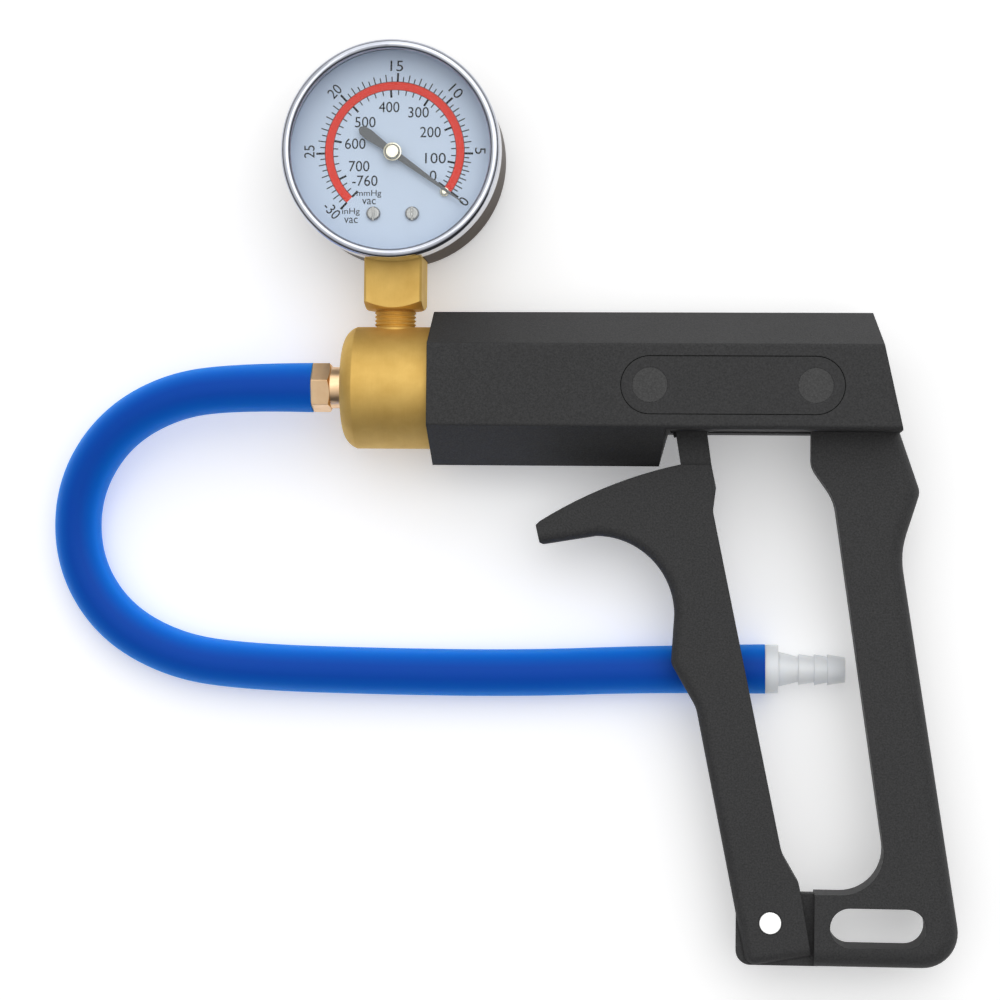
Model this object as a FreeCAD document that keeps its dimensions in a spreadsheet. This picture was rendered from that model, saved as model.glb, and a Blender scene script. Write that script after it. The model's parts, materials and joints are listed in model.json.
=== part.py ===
"""Hand vacuum pump: pistol grip, trigger, piston pump and dial gauge, lying on its right side.

Millimetres. The design frame has its origin on the barrel's axis, at the front face of the moulded
body: +X runs back along the barrel, +Y up from the barrel towards the gauge, +Z out of the pump's
left side. Every sub-part is then placed by origin_x, origin_y and origin_z, so that the origin of
the whole is at the bottom centre of the pump as it lies on a table, +Z up.
"""
import FreeCAD, Part
import math
import os
import Sketcher

# ---------------------------------------------------------------- driving dimensions
SIZES = {
    # from the design frame's origin to the bottom centre of the pump as it lies
    "origin_x": -40.97,
    "origin_y": 27.7,
    "origin_z": 17.0,
    # moulded body
    "barrel_apex": 18.7,
    "barrel_flat_half": 9.7,
    "barrel_half_depth": 17.0,
    "bore_radius": 12.5,
    "counterbore_radius": 13.0,
    "counterbore_depth": 8.0,
    "bore_end": 53.0,
    "channel_end": 94.5,
    "channel_half_width": 5.0,
    "channel_top": 7.5,
    "channel_floor": 9.0,
    "barrel_edge_radius": 0.8,
    "slot_start": 57.6,
    "slot_end": 91.4,
    "grip_half_depth": 6.0,
    "grip_edge_radius": 4.5,
    "tongue_half_depth": 2.0,
    "lanyard_slot_x": 107.9,
    "lanyard_slot_y": -128.3,
    "lanyard_slot_length": 22.7,
    "lanyard_slot_width": 9.4,
    # side covers and their studs
    "cover_front": 53.0,
    "cover_rear": 92.0,
    "cover_end_radius": 6.8,
    "cover_thickness": 2.0,
    "cover_gap": 0.15,
    "cover_sink": 0.1,
    "stud_head_radius": 4.15,
    "stud_head_depth": 1.0,
    "stud_shank_radius": 2.0,
    "stud_shank_depth": 1.9,
    "window_front": 60.0,
    "window_rear": 86.0,
    "window_half_height": 3.2,
    # cylinder head
    "head_length": 22.0,
    "head_radius": 14.8,
    "head_nose_radius": 5.0,
    "head_nose_length": 3.6,
    "head_nose_drop": 4.6,
    "head_face_rise": 0.3,
    "head_face_radius": 7.0,
    "spigot_radius": 12.9,
    "chamber_radius": 11.0,
    "port_radius": 5.1,
    "port_depth": 8.0,
    "gauge_port_x": -9.4,
    "gauge_port_floor": 7.0,
    "passage_radius": 1.2,
    "valve_seat_depth": 6.0,
    "valve_pocket_radius": 5.0,
    "valve_radius": 3.6,
    "valve_thickness": 1.0,
    "retainer_thickness": 1.5,
    # cylinder, piston and rod
    "gasket_thickness": 1.0,
    "sleeve_radius": 12.4,
    "bush_front": 48.0,
    "bush_bore_radius": 3.05,
    "vent_radius": 1.2,
    "vent_circle": 8.5,
    "piston_front": 3.0,
    "piston_length": 8.0,
    "piston_radius": 10.8,
    "seal_section_radius": 0.97,
    "seal_circle": 10.0,
    "seal_groove_half": 1.1,
    "seal_groove_radius": 9.0,
    "exhaust_hole_radius": 0.8,
    "exhaust_circle": 7.0,
    "flap_radius": 8.0,
    "flap_thickness": 0.8,
    "washer_radius": 6.2,
    "washer_thickness": 0.8,
    "nut_half_flat": 4.0,
    "nut_front": 0.7,
    "rod_radius": 3.0,
    "rod_front": 0.4,
    "fork_front": 53.4,
    "fork_base": 2.5,
    "fork_half_depth": 4.5,
    "fork_gap_half": 2.1,
    "fork_radius": 5.0,
    "link_pin_x": 61.5,
    "link_pin_radius": 2.5,
    "link_pin_half_length": 4.7,
    "spring_circle": 5.2,
    "spring_wire_radius": 0.7,
    "spring_turns": 9.0,
    # trigger and its pivot
    "pivot_x": 82.4,
    "pivot_y": -127.6,
    "pivot_radius": 2.75,
    "pivot_clearance": 0.05,
    "trigger_half_depth": 4.6,
    "trigger_edge_radius": 2.6,
    "hook_radius": 105.0,
    "finger_rest_radius": 18.9,
    "neck_half_depth": 3.6,
    "blade_half_depth": 2.0,
    "blade_half_width": 4.9,
    "blade_reach": 11.0,
    "link_slot_half_width": 2.65,
    "link_slot_below": 1.85,
    "link_slot_above": 0.15,
    "fork_slot_half": 2.2,
    "fork_slot_roof": -117.6,
    # hose fitting, hose and its end connector
    "hex_front": -29.4,
    "hex_rear": -24.8,
    "hex_half_flat": 5.3,
    "thread_radius": 5.05,
    "thread_end": -14.2,
    "barb_tip": -45.0,
    "barb_radius": 3.2,
    "barb_valley_radius": 2.7,
    "fitting_bore_radius": 1.6,
    "hose_radius": 5.75,
    "hose_bore_radius": 3.2,
    "hose_end_x": 80.9,
    "hose_end_y": -67.6,
    "hose_rest_z": -10.9,
    "flange_radius": 5.95,
    "flange_thickness": 3.2,
    "connector_length": 19.4,
    "connector_inner_length": 14.0,
    "connector_bore_radius": 2.0,
    # gauge
    "gauge_x": -9.4,
    "gauge_y": 56.2,
    "case_radius": 25.9,
    "case_wall": 0.8,
    "case_back": -10.9,
    "case_rim": 13.0,
    "bezel_radius": 26.3,
    "bezel_bore": 25.92,
    "bezel_back": 9.5,
    "bezel_front": 16.2,
    "bezel_lip_radius": 23.9,
    "bezel_lip_thickness": 1.2,
    "bezel_inner_round": 1.0,
    "bezel_outer_round": 1.3,
    "lens_radius": 25.8,
    "lens_thickness": 2.0,
    "dial_radius": 24.4,
    "dial_back": 7.6,
    "dial_thickness": 0.6,
    "thread_relief": 0.3,
    "socket_half_width": 7.0,
    "socket_bottom": 18.9,
    "socket_top": 32.4,
    "socket_corner": 0.5,
    "socket_bevel_rise": 1.8,
    "socket_bevel_run": 3.2,
    "lug_half_width": 6.5,
    "lug_bottom": 32.2,
    "lug_top": 42.8,
    "dial_screw_spread": 4.7,
    "dial_screw_y": 41.5,
    "dial_screw_head_radius": 1.7,
    "dial_screw_radius": 0.95,
    "case_screw_radius": 1.0,
    "case_screw_head_radius": 2.0,
    "case_screw_head_height": 1.0,
    "case_screw_spread": 4.0,
    "case_screw_y": 36.5,
    "thread_pitch": 0.94,
    "thread_depth": 0.5,
    "pinion_z": 0.7,
    "pinion_thickness": 1.4,
    "sector_z": 1.0,
    "sector_thickness": 0.8,
    "sector_drop": 12.0,
    "tail_length": 6.0,
    "hairspring_z": 2.6,
    "hairspring_height": 0.4,
    "hairspring_thickness": 0.12,
    "pillar_radius": 0.9,
    "pillar_x": 4.9,
    "pillar_y": 2.9,
    "arbor_hole_radius": 0.65,
    "stop_bead_radius": 1.1,
    "stop_bead_height": 1.2,
    "stop_pin_x": 12.5,
    "stop_pin_y": -9.5,
    "stop_pin_radius": 0.9,
    "pointer_back": 9.7,
    "pointer_thickness": 0.4,
    "pointer_length": 21.0,
    "pointer_tail": 9.9,
    "pointer_half_width": 0.8,
    "tail_half_width": 1.3,
    "pointer_rest": -35.5,
    "hub_radius": 2.2,
    "arbor_radius": 0.6,
    "tooth_height": 0.4,
    "pinion_radius": 1.2,
    "sector_radius": 10.8,
    "plate_half_width": 6.0,
    "plate_top": 4.0,
    "plate_thickness": 0.8,
    "back_plate_z": -1.6,
    "front_plate_z": 4.0,
    "tube_circle": 18.0,
    "tube_radius": 1.6,
    "tube_wall": 0.4,
    "tube_start": -70.0,
    "tube_end": 200.0,
}

# Corners of the side outlines, in the design frame.
POINTS = {
    "rear_top": (106.0, 18.7),
    "rear_heel": (117.4, -24.5),
    "nose_end": (54.9, -18.7),
    "nose_root": (56.7, -10.35),
    "barrel_heel": (112.5, -10.35),
    "grip_neck": (91.4, -10.35),
    "grip_throat": (91.4, -18.6),
    "grip_shoulder": (97.0, -26.5),
    "grip_inner_foot": (110.7, -120.5),
    "step_top": (92.8, -120.5),
    "step_foot": (92.8, -137.9),
    "grip_toe": (128.4, -137.9),
    "grip_waist": (112.8, -39.0),
    "tongue_front_top": (74.2, -120.6),
    "tongue_front_foot": (74.2, -137.9),
    "neck_left": (58.6, -8.5),
    "neck_root": (60.2, -18.3),
    "hook_top": (26.4, -32.2),
    "hook_nose": (25.5, -33.1),
    "hook_under": (26.4, -37.3),
    "hook_chin": (27.2, -37.7),
    "finger_rest": (39.9, -35.6),
    "finger_rest_end": (58.9, -54.4),
    "knuckle_top": (58.2, -66.0),
    "knuckle_end": (64.3, -76.6),
    "trigger_toe": (76.7, -138.2),
    "trigger_heel": (92.2, -135.5),
    "trigger_heel_top": (89.2, -118.5),
    "trigger_calf": (85.1, -111.4),
    "trigger_back": (68.0, -29.3),
    "neck_rear_root": (68.7, -23.7),
    "neck_rear_top": (67.6, -18.4),
    "neck_foot": (62.0, -27.0),
    "neck_right": (66.2, -8.5),
}

# The hose's route from the fitting to its end connector, lying down on the table after its bend.
HOSE_ROUTE = (
    (-29.4, 0.0, 0.0),
    (-47.0, 0.1, 0.0),
    (-64.5, -2.0, -1.2),
    (-79.8, -10.6, -4.4),
    (-89.2, -25.4, -8.6),
    (-89.4, -43.0, -10.9),
    (-80.4, -57.6, -10.9),
    (-64.6, -66.2, -10.9),
    (-46.0, -68.6, -10.9),
    (-15.0, -69.3, -10.9),
    (21.0, -69.4, -10.9),
    (54.0, -67.9, -10.9),
    (80.9, -67.6, -10.9),
)
HOSE_RUN_SHARE = 0.45

WHOLE_TURN = 360.0
VISIBLE_THREADS = 4
CLEAR = 2.0  # how far a cutting shape reaches past what it cuts
HEX_SIDES = 6
HEX_TURN = 16.0  # how far the hose fitting was screwed round when it stopped


# ---------------------------------------------------------------- sizes bound to the sheet
class Size:
    """A value together with the sheet expression that gives it."""

    def __init__(self, value, text):
        self.value = value
        self.text = text

    def __add__(self, other):
        other = size(other)
        return Size(self.value + other.value, f"({self.text} + {other.text})")

    def __sub__(self, other):
        other = size(other)
        return Size(self.value - other.value, f"({self.text} - {other.text})")

    def __mul__(self, other):
        other = size(other)
        return Size(self.value * other.value, f"({self.text} * {other.text})")

    def __truediv__(self, other):
        other = size(other)
        return Size(self.value / other.value, f"({self.text} / {other.text})")

    def __neg__(self):
        return Size(-self.value, f"(-{self.text})")

    def __radd__(self, other):
        return size(other) + self

    def __rsub__(self, other):
        return size(other) - self

    def __rmul__(self, other):
        return size(other) * self


def size(item):
    """Makes a plain number into a Size, and leaves a Size as it is."""
    if isinstance(item, Size):
        return item
    return Size(float(item), f"({float(item)})")


def s(name):
    """The size in the cell of this name."""
    return Size(SIZES[name], "Sizes." + name)


def point(name):
    """The corner of this name, as two sizes."""
    across, up = POINTS[name]
    return Size(across, f"Sizes.{name}_x"), Size(up, f"Sizes.{name}_y")


def fill_sheet(sheet):
    """Writes every size, and both coordinates of every corner, into a cell with an alias."""
    cells = dict(SIZES)
    for name, (across, up) in POINTS.items():
        cells[name + "_x"] = across
        cells[name + "_y"] = up
    for row, (name, value) in enumerate(cells.items(), start=1):
        sheet.set(f"A{row}", name.replace("_", " "))
        sheet.set(f"B{row}", str(value))
        sheet.setAlias(f"B{row}", name)


def bind(thing, name, value):
    """Sets a property, and binds it to the sheet where the value comes from there."""
    value = size(value)
    if "Sizes." in value.text:
        thing.setExpression(name, value.text)
    else:
        setattr(thing, name, value.value)


# ---------------------------------------------------------------- modelling helpers
doc = FreeCAD.newDocument("HandVacuumPump")
sheet = doc.addObject("Spreadsheet::Sheet", "Sizes")
fill_sheet(sheet)
doc.recompute()
nodes = []


def place(thing, x=0.0, y=0.0, z=0.0):
    """Puts a sub-part at a point of the design frame, seen from the frame of the whole."""
    for axis, value in (("x", x), ("y", y), ("z", z)):
        thing.setExpression(f"Placement.Base.{axis}", (size(value) + s("origin_" + axis)).text)


def new_body(label, x=0.0, y=0.0, z=0.0):
    """Starts a sub-part whose own origin is at a point of the design frame."""
    body = doc.addObject("PartDesign::Body", label)
    body.Label = label
    place(body, x, y, z)
    nodes.append(body)
    return body


def sketch_on(body, role, offset=0.0):
    """Adds a sketch on one of the body's own origin planes, moved along its normal."""
    sketch = body.newObject("Sketcher::SketchObject", body.Label + "_sketch")
    plane = next(item for item in body.Origin.OriginFeatures if item.Role == role)
    sketch.AttachmentSupport = [(plane, "")]
    sketch.MapMode = "FlatFace"
    sketch.setExpression("AttachmentOffset.Base.z", size(offset).text)
    return sketch


def pin_vertex(sketch, geometry, end, across, up):
    """Fixes one end of a line, or a circle's centre, at a place in its sketch."""
    for kind, value in (("DistanceX", across), ("DistanceY", up)):
        value = size(value)
        number = sketch.addConstraint(Sketcher.Constraint(kind, -1, 1, geometry, end, value.value))
        sketch.setExpression(f"Constraints[{number}]", value.text)


def arc_between(start, end, radius):
    """An arc from start to end: a positive radius turns left on the way, a negative one right."""
    low, high = (start, end) if radius > 0 else (end, start)
    chord = high - low
    reach = math.sqrt(radius**2 - (chord.Length / 2) ** 2)
    left = FreeCAD.Vector(-chord.y, chord.x, 0).normalize()
    centre = (low + high) / 2 + left * reach
    first = math.atan2(low.y - centre.y, low.x - centre.x)
    last = math.atan2(high.y - centre.y, high.x - centre.x)
    circle = Part.Circle(centre, FreeCAD.Vector(0, 0, 1), abs(radius))
    return Part.ArcOfCircle(circle, first, last)


def outline(sketch, steps):
    """Draws a closed loop: each step is a corner, and a third item makes its way there an arc."""
    corners = [(size(step[0]), size(step[1])) for step in steps]
    spots = [FreeCAD.Vector(across.value, up.value, 0) for across, up in corners]
    ends = []
    for number, step in enumerate(steps):
        start = spots[number - 1]
        end = spots[number]
        if len(step) == 2:
            piece = sketch.addGeometry(Part.LineSegment(start, end), False)
            ends.append((piece, 1, 2))
            continue
        radius = size(step[2])
        piece = sketch.addGeometry(arc_between(start, end, radius.value), False)
        ends.append((piece, 1, 2) if radius.value > 0 else (piece, 2, 1))
        wanted = radius if radius.value > 0 else -radius
        mark = sketch.addConstraint(Sketcher.Constraint("Radius", piece, wanted.value))
        sketch.setExpression(f"Constraints[{mark}]", wanted.text)
    for number, (piece, _, finish) in enumerate(ends):
        following, begin, _ = ends[(number + 1) % len(ends)]
        sketch.addConstraint(Sketcher.Constraint("Coincident", piece, finish, following, begin))
        pin_vertex(sketch, piece, finish, *corners[number])


def circle(sketch, across, up, radius):
    """Draws a circle about a fixed centre."""
    radius = size(radius)
    spot = FreeCAD.Vector(size(across).value, size(up).value, 0)
    ring = Part.Circle(spot, FreeCAD.Vector(0, 0, 1), radius.value)
    piece = sketch.addGeometry(ring, False)
    pin_vertex(sketch, piece, 3, across, up)
    mark = sketch.addConstraint(Sketcher.Constraint("Radius", piece, radius.value))
    sketch.setExpression(f"Constraints[{mark}]", radius.text)


def box_steps(left, low, right, high):
    """The four corners of an upright rectangle."""
    return ((left, low), (right, low), (right, high), (left, high))


def stadium_steps(left, right, up, radius):
    """A level slot outline about the line from left to right, with round ends."""
    low = size(up) - radius
    high = size(up) + radius
    return ((right, low), (size(right) + radius, up, radius), (right, high, radius),
            (left, high), (size(left) - radius, up, radius), (left, low, radius))


def solid_volume(body):
    """The body's present volume, nothing before its first feature."""
    doc.recompute()
    return body.Shape.Volume if not body.Shape.isNull() else 0.0


def feature(body, kind, sketch, adds, **sizes):
    """Adds a sketch-based feature and makes sure that it added or removed material."""
    before = solid_volume(body)
    item = body.newObject("PartDesign::" + kind, body.Label + "_" + kind.lower())
    item.Profile = sketch
    for name, value in sizes.items():
        if isinstance(value, (Size, float)):
            bind(item, name, value)
        else:
            setattr(item, name, value)
    after = solid_volume(body)
    changed = after > before if adds else after < before
    if not changed:
        raise RuntimeError(f"{item.Label} changed nothing: {before:.3f} to {after:.3f}")
    return item


def pad(body, sketch, length, both_ways=False, back=False):
    """Thickens a sketch, one way along its normal or equally both ways."""
    side = "Symmetric" if both_ways else "One side"
    return feature(body, "Pad", sketch, True, SideType=side, Reversed=back, Length=size(length))


def pocket(body, sketch, length, both_ways=False, back=False):
    """Cuts a sketch's shape out, against its normal unless back is set."""
    side = "Symmetric" if both_ways else "One side"
    return feature(body, "Pocket", sketch, False, SideType=side, Reversed=back, Length=size(length))


TURN_PLANES = {"x": "XY_Plane", "y": "XY_Plane", "z": "XZ_Plane"}


def turn_axis(sketch, axis):
    """The sketch's own level or upright axis, for turned features."""
    return (sketch, ["H_Axis" if axis == "x" else "V_Axis"])


def turned_steps(steps, axis):
    """Puts (along, radius) steps into the sketch's own directions."""
    if axis == "x":
        return steps
    return [(step[1], step[0]) + tuple(-size(item) for item in step[2:]) for step in steps]


def add_turned(body, steps, axis="x"):
    """Adds material turned about the body's own axis."""
    sketch = sketch_on(body, TURN_PLANES[axis])
    outline(sketch, turned_steps(steps, axis))
    return feature(body, "Revolution", sketch, True, ReferenceAxis=turn_axis(sketch, axis),
                   Angle=WHOLE_TURN)


def cut_turned(body, steps, axis="x"):
    """Turns material away from a body."""
    sketch = sketch_on(body, TURN_PLANES[axis])
    outline(sketch, turned_steps(steps, axis))
    return feature(body, "Groove", sketch, False, ReferenceAxis=turn_axis(sketch, axis),
                   Angle=WHOLE_TURN)


def turned(label, steps, axis="x", at=(0.0, 0.0, 0.0)):
    """A sub-part turned about its own axis from (along, radius) steps."""
    body = new_body(label, *at)
    add_turned(body, steps, axis)
    return body


def spin(body, degrees):
    """Turns a sub-part about its own upright axis."""
    body.Placement.Rotation = FreeCAD.Rotation(FreeCAD.Vector(0, 0, 1), degrees)


def tube_steps(start, end, inner, outer):
    """The half-section of a plain ring or tube."""
    return ((start, inner), (end, inner), (end, outer), (start, outer))


def cut_circles(body, role, offset, spots, radius, length, both_ways=False, back=False):
    """Drills equal round holes at (across, up) spots from one plane."""
    sketch = sketch_on(body, role, offset)
    for across, up in spots:
        circle(sketch, across, up, radius)
    return pocket(body, sketch, length, both_ways, back)


def round_ring(ring_radius, count, first=0.0):
    """Places spaced equally round a circle, as sizes."""
    spots = []
    for number in range(count):
        turn = math.radians(first + WHOLE_TURN * number / count)
        spots.append((size(ring_radius) * math.cos(turn), size(ring_radius) * math.sin(turn)))
    return spots


def hexagon_steps(half_flat, first=0.0):
    """The corners of a regular hexagon."""
    return round_ring(size(half_flat) / math.cos(math.pi / HEX_SIDES), HEX_SIDES, first)


def edges_where(item, test):
    """Names of the edges of a feature's solid that pass a test."""
    doc.recompute()
    return [f"Edge{number}" for number, edge in enumerate(item.Shape.Edges, start=1) if test(edge)]


def dress(body, kind, item, edges, value):
    """Rounds or bevels edges of the body's last feature."""
    if not edges:
        raise RuntimeError(f"no edges to {kind.lower()} on {item.Label}")
    dressing = body.newObject("PartDesign::" + kind, body.Label + "_" + kind.lower())
    dressing.Base = (item, edges)
    bind(dressing, "Radius" if kind == "Fillet" else "Size", value)
    doc.recompute()
    if "Invalid" in dressing.State or not dressing.Shape.isValid():
        raise RuntimeError(f"{dressing.Label} failed on {item.Label}")
    return dressing


def along_z(edge):
    """True for a straight edge that runs along Z."""
    box = edge.BoundBox
    return box.XLength < 1e-3 and box.YLength < 1e-3


def upright_at(name):
    """A test for the upright edge at a named corner."""
    across, up = POINTS[name]

    def test(edge):
        spot = edge.Vertexes[0].Point
        return along_z(edge) and math.hypot(spot.x - across, spot.y - up) < 0.05

    return test


def soften_corners(body, item, corners):
    """Rounds named upright corners, each to its own radius."""
    for name, radius in corners:
        item = dress(body, "Fillet", item, edges_where(item, upright_at(name)), radius)
    return item


# ---------------------------------------------------------------- moulded body and its covers
def rim_edge(edge, test):
    """True for an edge that lies flat on one face of a plate, where test(middle point) holds."""
    box = edge.BoundBox
    if box.ZLength > 1e-4 or abs(abs(box.ZMin) - SIZES["grip_half_depth"]) > 1e-3:
        return False
    middle = edge.valueAt((edge.FirstParameter + edge.LastParameter) / 2)
    return test(middle)


def behind_grip(middle):
    """True on the grip's outer back line, between the barrel and the toe."""
    toe_y = POINTS["grip_toe"][1]
    return middle.x > POINTS["grip_inner_foot"][0] and middle.y > toe_y + 0.5


def long_edge(edge):
    """True for the barrel's long edges."""
    box = edge.BoundBox
    return box.XLength > 40.0 and box.YLength < 1e-3 and box.ZLength < 1e-3 and box.YMin > -15.0


def add_barrel(body):
    """The six-sided barrel, cut on a slope behind and level underneath."""
    sketch = sketch_on(body, "YZ_Plane")
    apex = s("barrel_apex")
    flat = s("barrel_flat_half")
    deep = s("barrel_half_depth")
    outline(sketch, ((apex, 0.0), (flat, deep), (-flat, deep), (-apex, 0.0), (-flat, -deep),
                     (flat, -deep)))
    heel_x, heel_y = point("barrel_heel")
    top_x, top_y = point("rear_top")
    pad(body, sketch, heel_x)
    sketch = sketch_on(body, "XY_Plane")
    outline(sketch, ((top_x, top_y), (heel_x, heel_y), (heel_x + CLEAR, heel_y),
                     (heel_x + CLEAR, top_y + CLEAR), (top_x, top_y + CLEAR)))
    pocket(body, sketch, deep * 2 + CLEAR, both_ways=True)
    sketch = sketch_on(body, "XY_Plane")
    nose_x, nose_y = point("nose_end")
    root_x, root_y = point("nose_root")
    outline(sketch, ((nose_x, nose_y - CLEAR), (heel_x + CLEAR, nose_y - CLEAR),
                     (heel_x + CLEAR, root_y), (root_x, root_y), (nose_x, nose_y)))
    item = pocket(body, sketch, deep * 2 + CLEAR, both_ways=True)
    dress(body, "Fillet", item, edges_where(item, long_edge), s("barrel_edge_radius"))


def add_grip(body):
    """Grip and crosspiece, with the thin tongue that the trigger pivots on."""
    sketch = sketch_on(body, "XY_Plane")
    heel_x, heel_y = point("barrel_heel")
    top_x, top_y = point("rear_top")
    level_x = top_x + (heel_x - top_x) * top_y / (top_y - heel_y)
    names = ("grip_neck", "grip_throat", "grip_shoulder", "grip_inner_foot", "step_top",
             "step_foot", "grip_toe", "grip_waist", "rear_heel", "barrel_heel")
    steps = [(level_x, 0.0), (s("channel_end"), 0.0)] + [point(name) for name in names]
    outline(sketch, steps)
    item = pad(body, sketch, s("grip_half_depth") * 2, both_ways=True)
    item = soften_corners(body, item, (("grip_throat", 6.0), ("grip_shoulder", 12.0),
                                       ("grip_inner_foot", 10.2), ("grip_toe", 8.5),
                                       ("grip_waist", 20.0), ("rear_heel", 4.0)))
    edges = edges_where(item, lambda edge: rim_edge(edge, behind_grip))
    dress(body, "Fillet", item, edges, s("grip_edge_radius"))
    sketch = sketch_on(body, "XY_Plane")
    outline(sketch, (point("tongue_front_top"), point("tongue_front_foot"),
                     (point("step_foot")[0] + 1.0, point("tongue_front_foot")[1]),
                     (point("step_foot")[0] + 1.0, point("tongue_front_top")[1])))
    item = pad(body, sketch, s("tongue_half_depth") * 2, both_ways=True)
    soften_corners(body, item, (("tongue_front_top", 4.0), ("tongue_front_foot", 3.5)))


def cut_housing(body):
    """Bore, channel for the fork and blade, cover seats, stud holes, pivot hole and lanyard slot."""
    wide = s("counterbore_radius")
    bore = s("bore_radius")
    cut_turned(body, ((-CLEAR, 0.0), (-CLEAR, wide), (s("counterbore_depth"), wide),
                      (s("counterbore_depth"), bore), (s("bore_end"), bore), (s("bore_end"), 0.0)))
    sketch = sketch_on(body, "XY_Plane")
    floor = -s("channel_floor")
    below = point("nose_end")[1] - CLEAR
    start = s("bore_end") - 0.5
    outline(sketch, ((start, floor), (s("slot_start"), floor), (s("slot_start"), below),
                     (s("slot_end"), below), (s("slot_end"), floor), (s("channel_end"), floor),
                     (s("channel_end"), s("channel_top")), (start, s("channel_top"))))
    pocket(body, sketch, s("channel_half_width") * 2, both_ways=True)
    seat = s("barrel_half_depth")
    for sign in (1.0, -1.0):
        behind = sign < 0
        sketch = sketch_on(body, "XY_Plane", seat * sign)
        outline(sketch, stadium_steps(s("cover_front"), s("cover_rear"), 0.0,
                                      s("cover_end_radius") + s("cover_gap")))
        pocket(body, sketch, s("cover_thickness") + s("cover_sink"), back=behind)
        floor_z = (seat - s("cover_thickness") - s("cover_sink")) * sign
        cut_circles(body, "XY_Plane", floor_z, ((s("cover_front"), 0.0), (s("cover_rear"), 0.0)),
                    s("stud_shank_radius"), s("stud_shank_depth"), back=behind)
    sketch = sketch_on(body, "XY_Plane")
    outline(sketch, stadium_steps(s("window_front"), s("window_rear"), 0.0,
                                  s("window_half_height")))
    pocket(body, sketch, seat * 2 + CLEAR, both_ways=True)
    cut_circles(body, "XY_Plane", 0.0, ((s("pivot_x"), s("pivot_y")),), s("pivot_radius"),
                seat * 2, both_ways=True)
    sketch = sketch_on(body, "XY_Plane")
    end_radius = s("lanyard_slot_width") / 2
    reach = s("lanyard_slot_length") / 2 - end_radius
    outline(sketch, stadium_steps(s("lanyard_slot_x") - reach, s("lanyard_slot_x") + reach,
                                  s("lanyard_slot_y"), end_radius))
    pocket(body, sketch, seat * 2, both_ways=True)


def make_housing():
    """Barrel, grip and crosspiece in one moulding."""
    body = new_body("pump_housing")
    add_barrel(body)
    add_grip(body)
    cut_housing(body)


def make_cover(label, sign):
    """A side cover, sunk flush into the barrel's flat, with counterbored holes for its studs."""
    thick = s("cover_thickness")
    outer = s("barrel_half_depth") - s("cover_sink")
    body = new_body(label)
    sketch = sketch_on(body, "XY_Plane", outer * sign)
    outline(sketch, stadium_steps(s("cover_front"), s("cover_rear"), 0.0, s("cover_end_radius")))
    pad(body, sketch, thick, back=sign > 0)
    spots = ((s("cover_front"), 0.0), (s("cover_rear"), 0.0))
    cut_circles(body, "XY_Plane", outer * sign, spots, s("stud_head_radius"),
                s("stud_head_depth"), back=sign < 0)
    cut_circles(body, "XY_Plane", outer * sign, spots, s("stud_shank_radius"),
                thick + CLEAR, back=sign < 0)


def make_studs(label, sign):
    """Two flush round-headed studs that hold a cover."""
    outer = s("barrel_half_depth") - s("cover_sink")
    body = new_body(label)
    for name in ("cover_front", "cover_rear"):
        for radius, depth in (("stud_head_radius", s("stud_head_depth")),
                              ("stud_shank_radius", s("cover_thickness") + s("stud_shank_depth"))):
            sketch = sketch_on(body, "XY_Plane", outer * sign)
            circle(sketch, s(name), 0.0, s(radius))
            pad(body, sketch, depth, back=sign > 0)


# ---------------------------------------------------------------- cylinder head and valves
def make_head():
    """Turned brass head: spigot, ports for the hose fitting and the gauge, inlet valve pocket."""
    length = s("head_length")
    outer = s("head_radius")
    face = -length + s("head_face_rise")
    spigot = s("spigot_radius")
    depth = s("counterbore_depth")
    body = turned("cylinder_head", ((-length, 0.0), (0.0, 0.0), (depth, 0.0), (depth, spigot),
                                    (0.0, spigot), (0.0, outer),
                                    (-length + s("head_nose_length"), outer),
                                    (face, outer - s("head_nose_drop"), s("head_nose_radius")),
                                    (-length, s("head_face_radius"))))
    port = s("port_radius")
    passage = s("passage_radius")
    cut_turned(body, ((-length - CLEAR, 0.0), (-length - CLEAR, port),
                      (-length + s("port_depth"), port), (-length + s("port_depth"), 0.0)))
    cut_turned(body, ((-length, 0.0), (-length, passage), (0.0, passage), (0.0, 0.0)))
    pocket_radius = s("valve_pocket_radius")
    chamber = s("chamber_radius")
    cut_turned(body, ((-s("valve_seat_depth"), 0.0), (-s("valve_seat_depth"), pocket_radius),
                      (0.0, pocket_radius), (0.0, chamber), (depth + CLEAR, chamber),
                      (depth + CLEAR, 0.0)))
    top = outer + CLEAR
    cut_circles(body, "XZ_Plane", -top, ((s("gauge_port_x"), 0.0),), port,
                top - s("gauge_port_floor"), back=True)
    cut_circles(body, "XZ_Plane", -top, ((s("gauge_port_x"), 0.0),), passage, top, back=True)


def make_valves():
    """Inlet valve disc in its pocket, the ring that keeps it there, and the head's gasket."""
    seat = -s("valve_seat_depth")
    disc_end = seat + s("valve_thickness")
    turned("inlet_valve", ((seat, 0.0), (disc_end, 0.0), (disc_end, s("valve_radius")),
                           (seat, s("valve_radius"))))
    body = turned("valve_retainer", tube_steps(disc_end, disc_end + s("retainer_thickness"),
                                               1.5, s("valve_pocket_radius")))
    cut_circles(body, "YZ_Plane", disc_end, round_ring(3.2, 4), 0.9,
                s("retainer_thickness") + CLEAR, back=True)
    depth = s("counterbore_depth")
    turned("head_gasket", tube_steps(depth, depth + s("gasket_thickness"), s("chamber_radius"),
                                     s("sleeve_radius")))


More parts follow.
